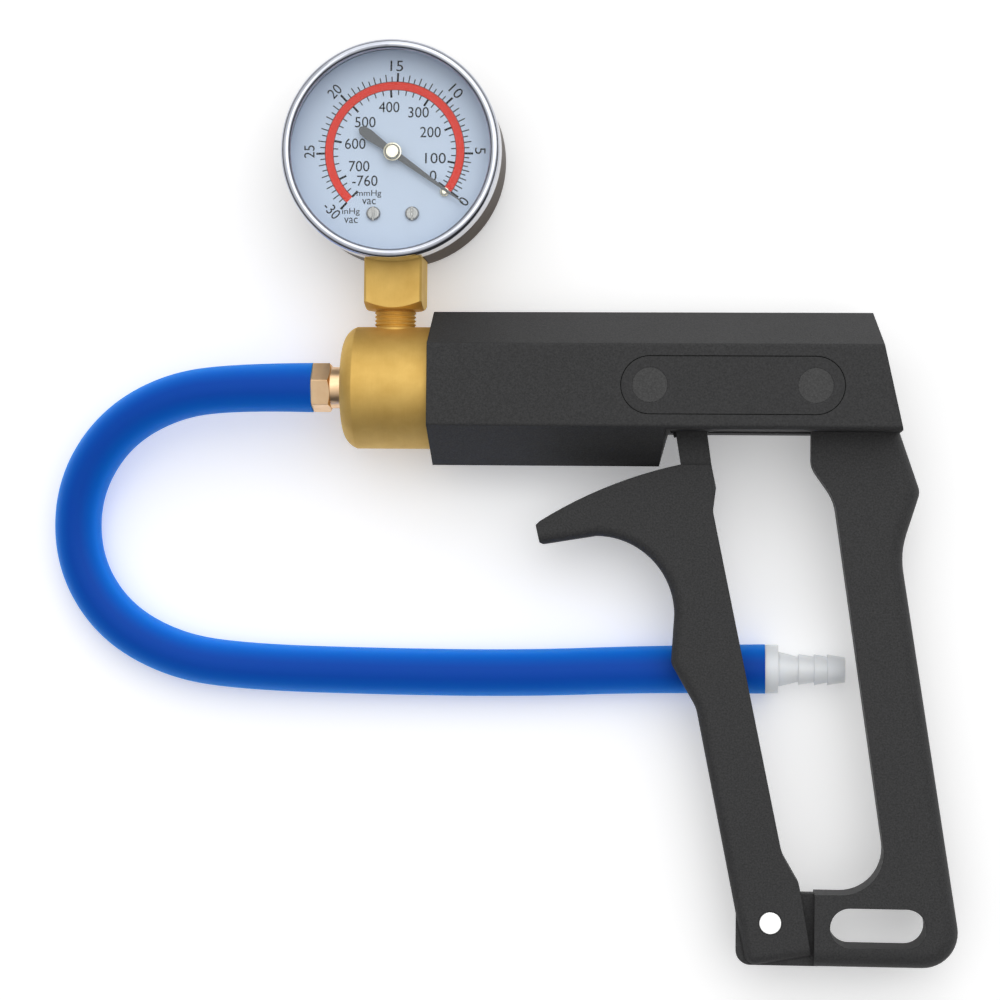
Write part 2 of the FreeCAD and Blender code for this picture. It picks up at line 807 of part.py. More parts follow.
# ---------------------------------------------------------------- cylinder, piston and rod
def make_cylinder():
    """The liner that the piston runs in, and the bush that guides the rod behind it."""
    front = s("counterbore_depth") + s("gasket_thickness")
    rear = s("bush_front")
    turned("cylinder_sleeve", tube_steps(front, rear, s("chamber_radius"), s("sleeve_radius")))
    body = turned("rod_guide_bush", tube_steps(rear, s("bore_end"), s("bush_bore_radius"),
                                               s("sleeve_radius")))
    cut_circles(body, "YZ_Plane", rear, round_ring(s("vent_circle"), 4, 45.0),
                s("vent_radius"), s("bore_end"), back=True)


def make_piston():
    """Piston with its seal groove and exhaust holes, then what is stacked on the rod with it."""
    front = s("piston_front")
    rear = front + s("piston_length")
    outer = s("piston_radius")
    inner = s("seal_groove_radius")
    middle = (front + rear) / 2
    half = s("seal_groove_half")
    rod = s("rod_radius")
    body = turned("piston", ((front, rod), (rear, rod), (rear, outer), (middle + half, outer),
                             (middle + half, inner), (middle - half, inner),
                             (middle - half, outer), (front, outer)))
    cut_circles(body, "YZ_Plane", front, round_ring(s("exhaust_circle"), 6),
                s("exhaust_hole_radius"), s("piston_length") + CLEAR, back=True)
    seal = doc.addObject("Part::Torus", "piston_seal")
    seal.Label = "piston_seal"
    bind(seal, "Radius1", s("seal_circle"))
    bind(seal, "Radius2", s("seal_section_radius"))
    seal.Placement.Rotation = FreeCAD.Rotation(FreeCAD.Vector(0, 1, 0), 90)
    place(seal, middle)
    nodes.append(seal)
    flap_end = rear + s("flap_thickness")
    turned("exhaust_flap", tube_steps(rear, flap_end, rod, s("flap_radius")))
    turned("flap_washer", tube_steps(flap_end, flap_end + s("washer_thickness"), rod,
                                     s("washer_radius")))
    body = new_body("piston_nut")
    sketch = sketch_on(body, "YZ_Plane", s("nut_front"))
    outline(sketch, hexagon_steps(s("nut_half_flat")))
    circle(sketch, 0.0, 0.0, rod)
    pad(body, sketch, front - s("nut_front"))


def make_rod():
    """Piston rod, the fork screwed on its rear end, and the pin across the fork."""
    base = s("fork_front")
    turned("piston_rod", ((s("rod_front"), 0.0), (base, 0.0), (base, s("rod_radius")),
                          (s("rod_front"), s("rod_radius"))))
    body = new_body("rod_fork")
    sketch = sketch_on(body, "XY_Plane")
    radius = s("fork_radius")
    pin_x = s("link_pin_x")
    outline(sketch, ((base, -radius), (pin_x, -radius), (pin_x + radius, 0.0, radius),
                     (pin_x, radius, radius), (base, radius)))
    pad(body, sketch, s("fork_half_depth") * 2, both_ways=True)
    sketch = sketch_on(body, "XY_Plane")
    outline(sketch, box_steps(base + s("fork_base"), -radius - CLEAR, pin_x + radius + CLEAR,
                              radius + CLEAR))
    pocket(body, sketch, s("fork_gap_half") * 2, both_ways=True)
    cut_circles(body, "XY_Plane", 0.0, ((pin_x, 0.0),), s("link_pin_radius"),
                s("fork_half_depth") * 2 + CLEAR, both_ways=True)
    body = new_body("link_pin", pin_x)
    sketch = sketch_on(body, "XY_Plane")
    circle(sketch, 0.0, 0.0, s("link_pin_radius"))
    item = pad(body, sketch, s("link_pin_half_length") * 2, both_ways=True)
    rims = edges_where(item, lambda edge: not along_z(edge))
    dress(body, "Chamfer", item, rims, 0.3)


def make_spring():
    """Return spring round the rod, between the flap washer and the bush."""
    front = (s("piston_front") + s("piston_length") + s("flap_thickness")
             + s("washer_thickness"))
    wire = s("spring_wire_radius")
    length = s("bush_front") - front - wire * 2
    body = new_body("return_spring", front + wire)
    sketch = sketch_on(body, "XY_Plane")
    circle(sketch, 0.0, s("spring_circle"), wire)
    coil = body.newObject("PartDesign::AdditiveHelix", "return_spring_coil")
    coil.Profile = sketch
    coil.ReferenceAxis = turn_axis(sketch, "x")
    coil.Mode = "pitch-turns-angle"
    bind(coil, "Pitch", length / s("spring_turns"))
    bind(coil, "Turns", s("spring_turns"))
    doc.recompute()


# ---------------------------------------------------------------- trigger and pivot
def blade_steps(half_width, below, above, round_foot=False):
    """An outline round the link pin, long in the direction of the trigger's pivot."""
    across = SIZES["link_pin_x"] - SIZES["pivot_x"]
    up = -SIZES["pivot_y"]
    reach = math.hypot(across, up)
    along_x = across / reach
    along_y = up / reach
    foot = -size(below)

    def spot(along, side):
        along = size(along)
        side = size(side)
        return (s("link_pin_x") + along * along_x + side * along_y,
                along * along_y - side * along_x)

    steps = [spot(above, half_width), spot(size(above) + half_width, 0.0) + (half_width,),
             spot(above, -half_width) + (half_width,), spot(foot, -half_width)]
    if round_foot:
        steps.append(spot(foot - half_width, 0.0) + (half_width,))
        steps.append(spot(foot, half_width) + (half_width,))
    else:
        steps.append(spot(foot, half_width))
    return steps


def trigger_front(middle):
    """True on the finger's side of the hook, the finger rest and the front of the trigger."""
    back_x, back_y = POINTS["trigger_back"]
    calf_x, calf_y = POINTS["trigger_calf"]
    lean = (calf_x - back_x) / (back_y - calf_y)
    line_x = back_x + (back_y - middle.y) * lean
    chin_x, chin_y = POINTS["hook_chin"]
    on_hook = chin_x < middle.x and middle.y < POINTS["hook_nose"][1]
    return on_hook and middle.x < line_x - 5.0 and middle.y > POINTS["trigger_toe"][1] + 3.0


def make_trigger():
    """Finger trigger: hooked front, thinner neck into the barrel, slotted blade, forked foot."""
    body = new_body("trigger")
    sketch = sketch_on(body, "XY_Plane")
    half = s("trigger_half_depth")
    outline(sketch, (point("neck_root"), point("hook_top") + (s("hook_radius"),),
                     point("hook_nose"), point("hook_under"), point("hook_chin"),
                     point("finger_rest"),
                     point("finger_rest_end") + (-s("finger_rest_radius"),),
                     point("knuckle_top"), point("knuckle_end"), point("trigger_toe"),
                     point("trigger_heel"), point("trigger_heel_top"), point("trigger_calf"),
                     point("trigger_back"), point("neck_rear_root"), point("neck_rear_top")))
    item = pad(body, sketch, half * 2, both_ways=True)
    item = soften_corners(body, item, (("knuckle_top", 3.0), ("knuckle_end", 8.0),
                                       ("trigger_toe", 3.0), ("trigger_heel_top", 3.0),
                                       ("trigger_calf", 8.0), ("trigger_back", 4.0)))

    def on_front_rim(edge):
        box = edge.BoundBox
        flat = box.ZLength < 1e-4 and abs(abs(box.ZMin) - half.value) < 1e-3
        middle = edge.valueAt((edge.FirstParameter + edge.LastParameter) / 2)
        return flat and trigger_front(middle)

    dress(body, "Fillet", item, edges_where(item, on_front_rim), s("trigger_edge_radius"))
    sketch = sketch_on(body, "XY_Plane")
    outline(sketch, (point("neck_left"), point("neck_root"), point("neck_foot"),
                     point("trigger_back"), point("neck_rear_root"), point("neck_rear_top"),
                     point("neck_right")))
    pad(body, sketch, s("neck_half_depth") * 2, both_ways=True)
    sketch = sketch_on(body, "XY_Plane")
    outline(sketch, blade_steps(s("blade_half_width"), s("blade_reach"), 0.0))
    pad(body, sketch, s("blade_half_depth") * 2, both_ways=True)
    sketch = sketch_on(body, "XY_Plane")
    radius = s("link_slot_half_width")
    outline(sketch, blade_steps(radius, s("link_slot_below"), s("link_slot_above"), True))
    pocket(body, sketch, half * 2, both_ways=True)
    cut_circles(body, "XY_Plane", 0.0, ((s("pivot_x"), s("pivot_y")),),
                s("pivot_radius") + s("pivot_clearance"), half * 2 + CLEAR, both_ways=True)
    sketch = sketch_on(body, "XY_Plane")
    outline(sketch, box_steps(point("knuckle_end")[0], point("trigger_toe")[1] - CLEAR,
                              point("trigger_heel")[0] + CLEAR, s("fork_slot_roof")))
    pocket(body, sketch, s("fork_slot_half") * 2, both_ways=True)


def make_pivot_pin():
    """The pin that the trigger swings on, flush with its fork."""
    body = new_body("pivot_pin", s("pivot_x"), s("pivot_y"))
    sketch = sketch_on(body, "XY_Plane")
    circle(sketch, 0.0, 0.0, s("pivot_radius"))
    item = pad(body, sketch, s("trigger_half_depth") * 2, both_ways=True)
    dress(body, "Chamfer", item, edges_where(item, lambda edge: not along_z(edge)), 0.2)


# ---------------------------------------------------------------- hose and what it joins
def make_hose_fitting():
    """Hexagonal fitting: pipe thread into the head, barbs into the hose, bored through."""
    bore = s("fitting_bore_radius")
    tip = s("barb_tip")
    front = s("hex_front")
    rear = s("hex_rear")
    end = s("thread_end")
    thread = s("thread_radius")
    crest = s("barb_radius")
    valley = s("barb_valley_radius")
    steps = [(tip, bore), (end, bore), (end, thread - 0.5), (end - 0.6, thread), (rear, thread),
             (rear, thread - 0.5), (front, thread - 0.5), (front, valley)]
    for back in (4.1, 8.1, 12.1):
        steps.append((front - back, valley))
        steps.append((front - back, crest))
    steps.append((tip, valley - 0.3))
    body = turned("hose_fitting", steps)
    sketch = sketch_on(body, "YZ_Plane", front)
    outline(sketch, hexagon_steps(s("hex_half_flat"), HEX_TURN))
    circle(sketch, 0.0, 0.0, valley)
    pad(body, sketch, rear - front)
    flat = s("hex_half_flat")
    cut_turned(body, ((rear, flat), (rear + 0.5, flat + 2.5), (rear - 1.4, flat + 2.5)))
    cut_turned(body, ((front, flat + 0.3), (front + 0.7, flat + 2.5), (front - 0.5, flat + 2.5)))


def route_edges(spots, share):
    """Straight runs joined by tangent arcs, as large as the shorter of the two runs allows."""
    edges = []
    radii = []
    last = spots[0]
    for before, corner, after in zip(spots, spots[1:], spots[2:]):
        back = before - corner
        ahead = after - corner
        cut = share * min(back.Length, ahead.Length)
        half_turn = (math.pi - back.getAngle(ahead)) / 2
        radius = cut / math.tan(half_turn)
        back.normalize()
        ahead.normalize()
        start = corner + back * cut
        end = corner + ahead * cut
        inward = (back + ahead).normalize()
        centre = corner + inward * (radius / math.cos(half_turn))
        middle = centre - inward * radius
        edges.append(Part.LineSegment(last, start).toShape())
        edges.append(Part.Arc(start, middle, end).toShape())
        radii.append(radius)
        last = end
    edges.append(Part.LineSegment(last, spots[-1]).toShape())
    return edges, radii


def swept_tube(path, start, direction, radius):
    """A solid round rod along a path."""
    rim = Part.Wire(Part.Circle(start, direction, radius).toShape())
    return path.makePipeShell([rim], True, False)


def make_hose():
    """The hose, from the fitting's hexagon to the end connector's flange."""
    spots = [FreeCAD.Vector(*spot) for spot in HOSE_ROUTE]
    edges, radii = route_edges(spots, HOSE_RUN_SHARE)
    path = Part.Wire(edges)
    direction = spots[1] - spots[0]
    outer = sheet.hose_radius
    inner = sheet.hose_bore_radius
    tube = swept_tube(path, spots[0], direction, outer).cut(
        swept_tube(path, spots[0], direction, inner))
    hose = doc.addObject("Part::Feature", "hose")
    hose.Label = "hose"
    hose.Shape = tube
    place(hose)
    nodes.append(hose)
    expected = math.pi * (outer**2 - inner**2) * path.Length
    print("hose arc radii", [round(radius, 1) for radius in radii])
    print(f"hose length {path.Length:.1f}, volume {tube.Volume:.1f} for {expected:.1f}")


def make_hose_connector():
    """White barbed connector in the hose's free end."""
    length = s("connector_length")
    inner = s("connector_inner_length")
    bore = s("connector_bore_radius")
    flange = s("flange_thickness")
    crest = s("barb_radius")
    valley = s("barb_valley_radius")
    steps = [(-inner, bore), (length, bore), (length, 3.1)]
    for barb in (15.1, 11.9, 8.1):
        steps.append((barb, 3.8))
        steps.append((barb, 3.2))
    steps += [(7.6, 3.2), (3.6, 4.2), (flange, 4.2), (flange, s("flange_radius")),
              (0.0, s("flange_radius")), (0.0, valley)]
    for barb in (-4.5, -8.0, -11.5):
        steps.append((barb, valley))
        steps.append((barb, crest))
    steps.append((-inner, valley - 0.3))
    turned("hose_end_connector", steps,
           at=(s("hose_end_x"), s("hose_end_y"), s("hose_rest_z")))


# ---------------------------------------------------------------- gauge
PINION_TEETH = 12
SECTOR_RATIO = 9
SECTOR_FIRST_TOOTH = -1
SECTOR_LAST_TOOTH = 10
HAIRSPRING_HALF_TURNS = 11


def gauge_body(label):
    """Starts a sub-part on the gauge's own axis."""
    return new_body(label, s("gauge_x"), s("gauge_y"))


def gauge_turned(label, steps):
    """A sub-part turned about the gauge's axis."""
    return turned(label, steps, axis="z", at=(s("gauge_x"), s("gauge_y"), 0.0))


def polar(radius, degrees):
    """A place at a radius and an angle, as sizes."""
    turn = math.radians(degrees)
    return size(radius) * math.cos(turn), size(radius) * math.sin(turn)


def make_gauge_socket():
    """Brass socket: pipe thread, square block with bevelled corners, and lugs inside the case."""
    body = new_body("gauge_socket", s("gauge_x"))
    thread = s("thread_radius")
    root = thread - s("thread_depth")
    floor = s("gauge_port_floor")
    bottom = s("socket_bottom")
    pitch = s("thread_pitch")
    bore = s("passage_radius")
    steps = [(floor, bore), (bottom, bore), (bottom, root)]
    low = bottom - s("thread_relief")
    for _ in range(VISIBLE_THREADS):
        steps += [(low - pitch / 2, thread), (low - pitch, root)]
        low = low - pitch
    steps += [(low - pitch / 2, thread), (floor, thread)]
    add_turned(body, steps, "y")
    half = s("socket_half_width")
    corner = s("socket_corner")
    sketch = sketch_on(body, "XZ_Plane", -bottom)
    outline(sketch, ((half - corner, -half), (half, -half + corner), (half, half - corner),
                     (half - corner, half), (-half + corner, half), (-half, half - corner),
                     (-half, -half + corner), (-half + corner, -half)))
    circle(sketch, 0.0, 0.0, bore)
    pad(body, sketch, s("socket_top") - bottom, back=True)
    edge = half - 0.2
    wide = edge + s("socket_bevel_run")
    cut_turned(body, ((bottom, edge), (bottom - 1.0, wide),
                      (bottom + s("socket_bevel_rise"), wide)), "y")
    lug = s("lug_half_width")
    deep = s("case_back") + s("case_wall")
    sketch = sketch_on(body, "XY_Plane", deep)
    outline(sketch, box_steps(-lug, s("lug_bottom"), lug, s("lug_top")))
    pad(body, sketch, s("dial_back") - deep)
    root_y = s("gauge_y") + s("tube_circle") * math.sin(math.radians(SIZES["tube_start"]))
    cut_circles(body, "XZ_Plane", -floor, ((0.0, 0.0),), bore, root_y - floor)
    cut_circles(body, "YZ_Plane", lug, ((root_y, 0.0),), bore, lug)
    screws = ((s("dial_screw_spread"), s("dial_screw_y")),
              (-s("dial_screw_spread"), s("dial_screw_y")))
    cut_circles(body, "XY_Plane", s("dial_back"), screws, s("dial_screw_radius"), 3.0)
    screws = ((s("case_screw_spread"), s("case_screw_y")),
              (-s("case_screw_spread"), s("case_screw_y")))
    cut_circles(body, "XY_Plane", deep, screws, s("case_screw_radius"), 5.0, back=True)


def make_case():
    """Gauge case with its back screws, and the bezel and lens that close it."""
    outer = s("case_radius")
    inner = outer - s("case_wall")
    back = s("case_back")
    rim = s("case_rim")
    wall = s("case_wall")
    body = gauge_turned("gauge_case", ((back, 0.0), (back, outer - 1.5),
                                       (back + 1.5, outer, -1.5), (rim, outer), (rim, inner),
                                       (back + wall, inner), (back + wall, 0.0)))
    half = s("socket_half_width") + 0.1
    sketch = sketch_on(body, "XY_Plane")
    outline(sketch, box_steps(-half, -outer - CLEAR, half, -outer * 0.8))
    pocket(body, sketch, half * 2, both_ways=True)
    spread = s("case_screw_spread")
    low = s("case_screw_y") - s("gauge_y")
    spots = ((spread, low), (-spread, low))
    cut_circles(body, "XY_Plane", back, spots, s("case_screw_radius"), wall, back=True)
    head = s("case_screw_head_height")
    body = gauge_body("gauge_case_screws")
    for across, up in spots:
        for radius, start, length in ((s("case_screw_head_radius"), back - head, head),
                                      (s("case_screw_radius"), back, wall + 4.5)):
            sketch = sketch_on(body, "XY_Plane", start)
            circle(sketch, across, up, radius)
            pad(body, sketch, length)
        sketch = sketch_on(body, "XY_Plane", back - head)
        outline(sketch, box_steps(across - 0.3, up - 2.5, across + 0.3, up + 2.5))
        pocket(body, sketch, 0.5, back=True)

    bezel = s("bezel_radius")
    bore = s("bezel_bore")
    front = s("bezel_front")
    lip = front - s("bezel_lip_thickness")
    start = s("bezel_back")
    mouth = s("bezel_lip_radius")
    inner = s("bezel_inner_round")
    outer = s("bezel_outer_round")
    gauge_turned("gauge_bezel", ((start, bore), (lip, bore), (lip, mouth),
                                 (front - inner, mouth), (front, mouth + inner, inner),
                                 (front, bezel - outer), (front - outer, bezel, outer),
                                 (start, bezel)))
    gauge_turned("gauge_lens", ((rim, 0.0), (rim, s("lens_radius")),
                                (rim + s("lens_thickness"), s("lens_radius")),
                                (rim + s("lens_thickness"), 0.0)))


def make_dial():
    """Dial plate, the two screws that hold it and the stop pin that the pointer rests at."""
    back = s("dial_back")
    thick = s("dial_thickness")
    front = back + thick
    body = gauge_body("gauge_dial")
    spread = s("dial_screw_spread")
    low = s("dial_screw_y") - s("gauge_y")
    screws = ((spread, low), (-spread, low))
    sketch = sketch_on(body, "XY_Plane", back)
    circle(sketch, 0.0, 0.0, s("dial_radius"))
    circle(sketch, 0.0, 0.0, s("arbor_radius") * 2)
    circle(sketch, s("stop_pin_x"), s("stop_pin_y"), s("stop_pin_radius"))
    for across, up in screws:
        circle(sketch, across, up, s("dial_screw_radius"))
    pad(body, sketch, thick)
    body = gauge_body("dial_screws")
    for across, up in screws:
        sketch = sketch_on(body, "XY_Plane", back - 2.8)
        circle(sketch, across, up, s("dial_screw_radius"))
        pad(body, sketch, thick + 2.8)
        sketch = sketch_on(body, "XY_Plane", front)
        circle(sketch, across, up, s("dial_screw_head_radius"))
        item = pad(body, sketch, 0.9)
        top = front.value + 0.9
        rims = edges_where(item, lambda edge: abs(edge.BoundBox.ZMin - top) < 1e-3
                           and abs(edge.BoundBox.Center.x - across.value) < 0.1)
        dress(body, "Fillet", item, rims, 0.5)
        sketch = sketch_on(body, "XY_Plane", front + 1.0)
        outline(sketch, box_steps(across - 0.25, up - 2.0, across + 0.25, up + 2.0))
        pocket(body, sketch, 0.5)
    pin = s("stop_pin_radius")
    bead = s("stop_bead_radius")
    tall = s("stop_bead_height")
    turned("dial_stop_pin", ((back, 0.0), (back, pin), (front, pin), (front, bead),
                             (front + tall - 0.5, bead), (front + tall, bead - 0.5, 0.5),
                             (front + tall, 0.0)), axis="z",
           at=(s("gauge_x") + s("stop_pin_x"), s("gauge_y") + s("stop_pin_y"), 0.0))


def make_pointer():
    """Pointer and the cap over its hub."""
    body = gauge_body("pointer")
    spin(body, SIZES["pointer_rest"])
    sketch = sketch_on(body, "XY_Plane", s("pointer_back"))
    tail = s("pointer_tail")
    length = s("pointer_length")
    half = s("pointer_half_width")
    wide = s("tail_half_width")
    outline(sketch, ((length, -0.12), (length, 0.12), (2.0, half), (-1.8, half),
                     (-tail + 2.7, wide), (-tail + 0.9, wide - 0.2), (-tail, 0.4),
                     (-tail, -0.4), (-tail + 0.9, 0.2 - wide), (-tail + 2.7, -wide),
                     (-1.8, -half), (2.0, -half)))
    circle(sketch, 0.0, 0.0, s("arbor_radius"))
    pad(body, sketch, s("pointer_thickness"))
    top = s("pointer_back") + s("pointer_thickness")
    hub = s("hub_radius")
    gauge_turned("pointer_hub", ((top, 0.0), (top, hub), (top + 0.4, hub),
                                 (top + 1.1, hub - 0.7, 0.7), (top + 1.1, 0.0)))


def tooth_steps(radius, pitch_angle, first, last, start, foot_share, tip_share):
    """Narrow teeth round a gear: four corners each, from the first tooth to the last."""
    half_height = s("tooth_height") / 2
    foot = size(radius) - half_height - 0.05
    tip = size(radius) + half_height
    steps = []
    for number in range(first, last + 1):
        middle = start + number * pitch_angle
        for reach, turn in ((foot, -foot_share), (tip, -tip_share), (tip, tip_share),
                            (foot, foot_share)):
            steps.append(polar(reach, middle + turn * pitch_angle))
    return steps


def make_movement_gears():
    """Pinion on the pointer's arbor, and the toothed sector that turns it."""
    body = gauge_body("pinion_arbor")
    sketch = sketch_on(body, "XY_Plane", s("pinion_z"))
    pitch = WHOLE_TURN / PINION_TEETH
    outline(sketch, tooth_steps(s("pinion_radius"), pitch, 0, PINION_TEETH - 1,
                                -90.0 + pitch / 2, 0.22, 0.1))
    pad(body, sketch, s("pinion_thickness"))
    sketch = sketch_on(body, "XY_Plane", s("back_plate_z"))
    circle(sketch, 0.0, 0.0, s("arbor_radius"))
    pad(body, sketch, s("pointer_back") + s("pointer_thickness") - s("back_plate_z"))

    body = new_body("sector_gear", s("gauge_x"), s("gauge_y") - s("sector_drop"))
    sketch = sketch_on(body, "XY_Plane", s("sector_z"))
    pitch = WHOLE_TURN / (PINION_TEETH * SECTOR_RATIO)
    teeth = tooth_steps(s("sector_radius"), pitch, SECTOR_FIRST_TOOTH, SECTOR_LAST_TOOTH, 90.0,
                        0.22, 0.1)
    tail = s("tail_length")
    outline(sketch, teeth + [polar(2.0, 150.0), polar(tail, 158.0), polar(tail, 172.0),
                             polar(2.0, 190.0), polar(1.1, 250.0), polar(1.1, 310.0),
                             polar(2.0, 20.0)])
    pad(body, sketch, s("sector_thickness"))
    sketch = sketch_on(body, "XY_Plane", s("back_plate_z"))
    circle(sketch, 0.0, 0.0, s("arbor_radius"))
    pad(body, sketch, s("front_plate_z") + s("plate_thickness") - s("back_plate_z"))


def make_movement_frame():
    """The two plates that carry the arbors, and the pillars between them."""
    half = s("plate_half_width")
    low = s("lug_top") - s("gauge_y")
    pillars = ((s("pillar_x"), s("pillar_y")), (-s("pillar_x"), s("pillar_y")))
    for label, level in (("movement_back_plate", s("back_plate_z")),
                         ("movement_front_plate", s("front_plate_z"))):
        body = gauge_body(label)
        sketch = sketch_on(body, "XY_Plane", level)
        outline(sketch, box_steps(-half, low, half, s("plate_top")))
        circle(sketch, 0.0, 0.0, s("arbor_hole_radius"))
        circle(sketch, 0.0, -s("sector_drop"), s("arbor_hole_radius"))
        pad(body, sketch, s("plate_thickness"))
    body = gauge_body("movement_pillars")
    start = s("back_plate_z") + s("plate_thickness")
    for across, up in pillars:
        sketch = sketch_on(body, "XY_Plane", start)
        circle(sketch, across, up, s("pillar_radius"))
        pad(body, sketch, s("front_plate_z") - start)


def make_hairspring():
    """Flat spiral that takes the play out of the gears: half-circles of growing radius."""
    edges = []
    radius = 1.3
    growth = 0.2
    centre = 0.0
    side = 1.0
    first = FreeCAD.Vector(radius, 0, 0)
    start = first
    for _ in range(HAIRSPRING_HALF_TURNS):
        top = FreeCAD.Vector(centre, side * radius, 0)
        end = FreeCAD.Vector(centre - side * radius, 0, 0)
        edges.append(Part.Arc(start, top, end).toShape())
        centre += side * growth
        radius += growth
        side = -side
        start = end
    half = sheet.hairspring_thickness / 2
    side_in = FreeCAD.Vector(first.x - half, 0, 0)
    side_out = FreeCAD.Vector(first.x + half, 0, 0)
    rise = FreeCAD.Vector(0, 0, sheet.hairspring_height)
    band = Part.makePolygon([side_in, side_out, side_out + rise, side_in + rise, side_in])
    spiral = Part.Wire(edges).makePipeShell([band], True, True)
    item = doc.addObject("Part::Feature", "hairspring")
    item.Label = "hairspring"
    item.Shape = spiral
    place(item, s("gauge_x"), s("gauge_y"), s("hairspring_z"))
    nodes.append(item)


def make_bourdon_tube():
    """Curved pressure tube from the socket round the case, its end cap and the drive link."""
    body = gauge_body("bourdon_tube")
    spin(body, SIZES["tube_start"])
    sketch = sketch_on(body, "XZ_Plane")
    circle(sketch, s("tube_circle"), 0.0, s("tube_radius"))
    circle(sketch, s("tube_circle"), 0.0, s("tube_radius") - s("tube_wall"))
    sweep = s("tube_end") - s("tube_start")
    feature(body, "Revolution", sketch, True, ReferenceAxis=turn_axis(sketch, "z"), Angle=sweep)
    body = gauge_body("tube_end_cap")
    spin(body, SIZES["tube_end"])
    sketch = sketch_on(body, "XY_Plane")
    wide = s("tube_radius") + 0.3
    outline(sketch, box_steps(s("tube_circle") - wide, 0.0, s("tube_circle") + wide, 1.6))
    pad(body, sketch, wide * 2, both_ways=True)

    cap_x, cap_y = polar(s("tube_circle"), SIZES["tube_end"] + 2.5)
    tail_x, tail_y = polar(s("tail_length"), 165.0)
    tail_y = tail_y - s("sector_drop")
    body = new_body("drive_link", s("gauge_x") + cap_x, s("gauge_y") + cap_y)
    across = tail_x.value - cap_x.value
    up = tail_y.value - cap_y.value
    spin(body, math.degrees(math.atan2(up, across)))
    sketch = sketch_on(body, "XY_Plane", wide)
    outline(sketch, stadium_steps(0.0, math.hypot(across, up), 0.0, 0.8))
    pad(body, sketch, 0.6)


# ---------------------------------------------------------------- the whole pump
def check_model():
    """Stops on any failed object, and on any sub-part that is empty or not a valid solid."""
    doc.recompute()
    for item in doc.Objects:
        if "Invalid" in item.State or "Error" in item.State:
            raise RuntimeError(f"{item.Label} failed: {item.State}")
    for node in nodes:
        if node.Shape.isNull() or not node.Shape.isValid() or not node.Shape.Solids:
            raise RuntimeError(f"{node.Label} has no valid solid")


def print_extent():
    """Prints the box of the pump without its hose, which the origin is at the bottom centre of."""
    box = FreeCAD.BoundBox()
    for node in nodes:
        if node.Label not in ("hose", "hose_end_connector"):
            box.add(node.Shape.optimalBoundingBox(False, False))
    print(f"box x {box.XMin:.2f} {box.XMax:.2f}, y {box.YMin:.2f} {box.YMax:.2f}, "
          f"z {box.ZMin:.2f} {box.ZMax:.2f}")


def write_parts():
    """Writes each sub-part to a file of its own name."""
    os.makedirs("parts", exist_ok=True)
    for node in nodes:
        node.Shape.exportStep(f"parts/{node.Label}.step")
    print(len(nodes), "sub-parts written")


make_housing()
for side, direction in (("left", 1.0), ("right", -1.0)):
    make_cover(side + "_side_cover", direction)
    make_studs(side + "_cover_studs", direction)
make_head()
make_valves()
make_cylinder()
make_piston()
make_rod()
make_spring()
make_trigger()
make_pivot_pin()
make_hose_fitting()
make_hose()
make_hose_connector()
make_gauge_socket()
make_case()
make_dial()
make_pointer()
make_movement_gears()
make_movement_frame()
make_hairspring()
make_bourdon_tube()
check_model()
print_extent()
write_parts()
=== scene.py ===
"""Looks for the hand vacuum pump: materials, hose, printed dial, studio and camera.

Metres, in the CAD frame: the pump lies on its right side on a table, +Z up.
"""
import json
import math

import bmesh
import bpy
from mathutils import Matrix, Vector


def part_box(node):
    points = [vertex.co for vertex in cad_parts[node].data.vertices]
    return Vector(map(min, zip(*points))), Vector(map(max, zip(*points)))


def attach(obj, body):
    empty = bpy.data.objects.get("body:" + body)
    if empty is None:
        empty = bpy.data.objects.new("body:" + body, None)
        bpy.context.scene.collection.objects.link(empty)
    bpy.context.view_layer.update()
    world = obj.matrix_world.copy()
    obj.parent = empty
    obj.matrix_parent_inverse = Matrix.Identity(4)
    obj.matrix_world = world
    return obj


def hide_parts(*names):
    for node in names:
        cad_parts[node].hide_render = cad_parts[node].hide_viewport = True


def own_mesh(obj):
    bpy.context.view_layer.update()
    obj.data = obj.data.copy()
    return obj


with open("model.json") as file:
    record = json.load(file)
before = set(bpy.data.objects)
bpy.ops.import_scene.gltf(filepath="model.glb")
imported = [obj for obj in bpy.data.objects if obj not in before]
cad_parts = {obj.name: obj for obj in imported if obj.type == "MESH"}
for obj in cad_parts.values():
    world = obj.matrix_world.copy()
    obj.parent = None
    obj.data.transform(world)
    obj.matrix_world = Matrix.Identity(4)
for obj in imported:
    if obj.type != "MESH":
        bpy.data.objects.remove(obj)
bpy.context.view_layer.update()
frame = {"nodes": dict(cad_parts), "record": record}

MM = 0.001
nodes = frame["nodes"]


def centre_of(node):
    """Middle of a CAD node's box."""
    low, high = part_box(node)
    return (Vector(low) + Vector(high)) / 2


# ---------------------------------------------------------------- places taken from the frame
AXIS = centre_of("cylinder_sleeve")
BODY_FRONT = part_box("pump_housing")[0][0]
ORIGIN = Vector((BODY_FRONT, AXIS.y, AXIS.z))
GAUGE = centre_of("gauge_bezel")
DIAL_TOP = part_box("gauge_dial")[1][2]
PRINT_SHIFT = Vector((0.3, 0.3, 0.0)) * MM
PRINT_MIDDLE = GAUGE + PRINT_SHIFT


def from_axis(x, y, z):
    """A place given in millimetres from the barrel's axis at the moulded body's front face."""
    return ORIGIN + Vector((x, y, z)) * MM


# ---------------------------------------------------------------- camera
CAMERA_PLACE = from_axis(71.1, -42.26, 697.6)
CAMERA_YAW = math.radians(4.475)
CAMERA_PITCH = math.radians(-1.243)
CAMERA_ROLL = math.radians(0.537)
CAMERA_LENS = 103.94
SENSOR_WIDTH = 36.0
NEAR_CLIP = 0.01
FAR_CLIP = 100.0


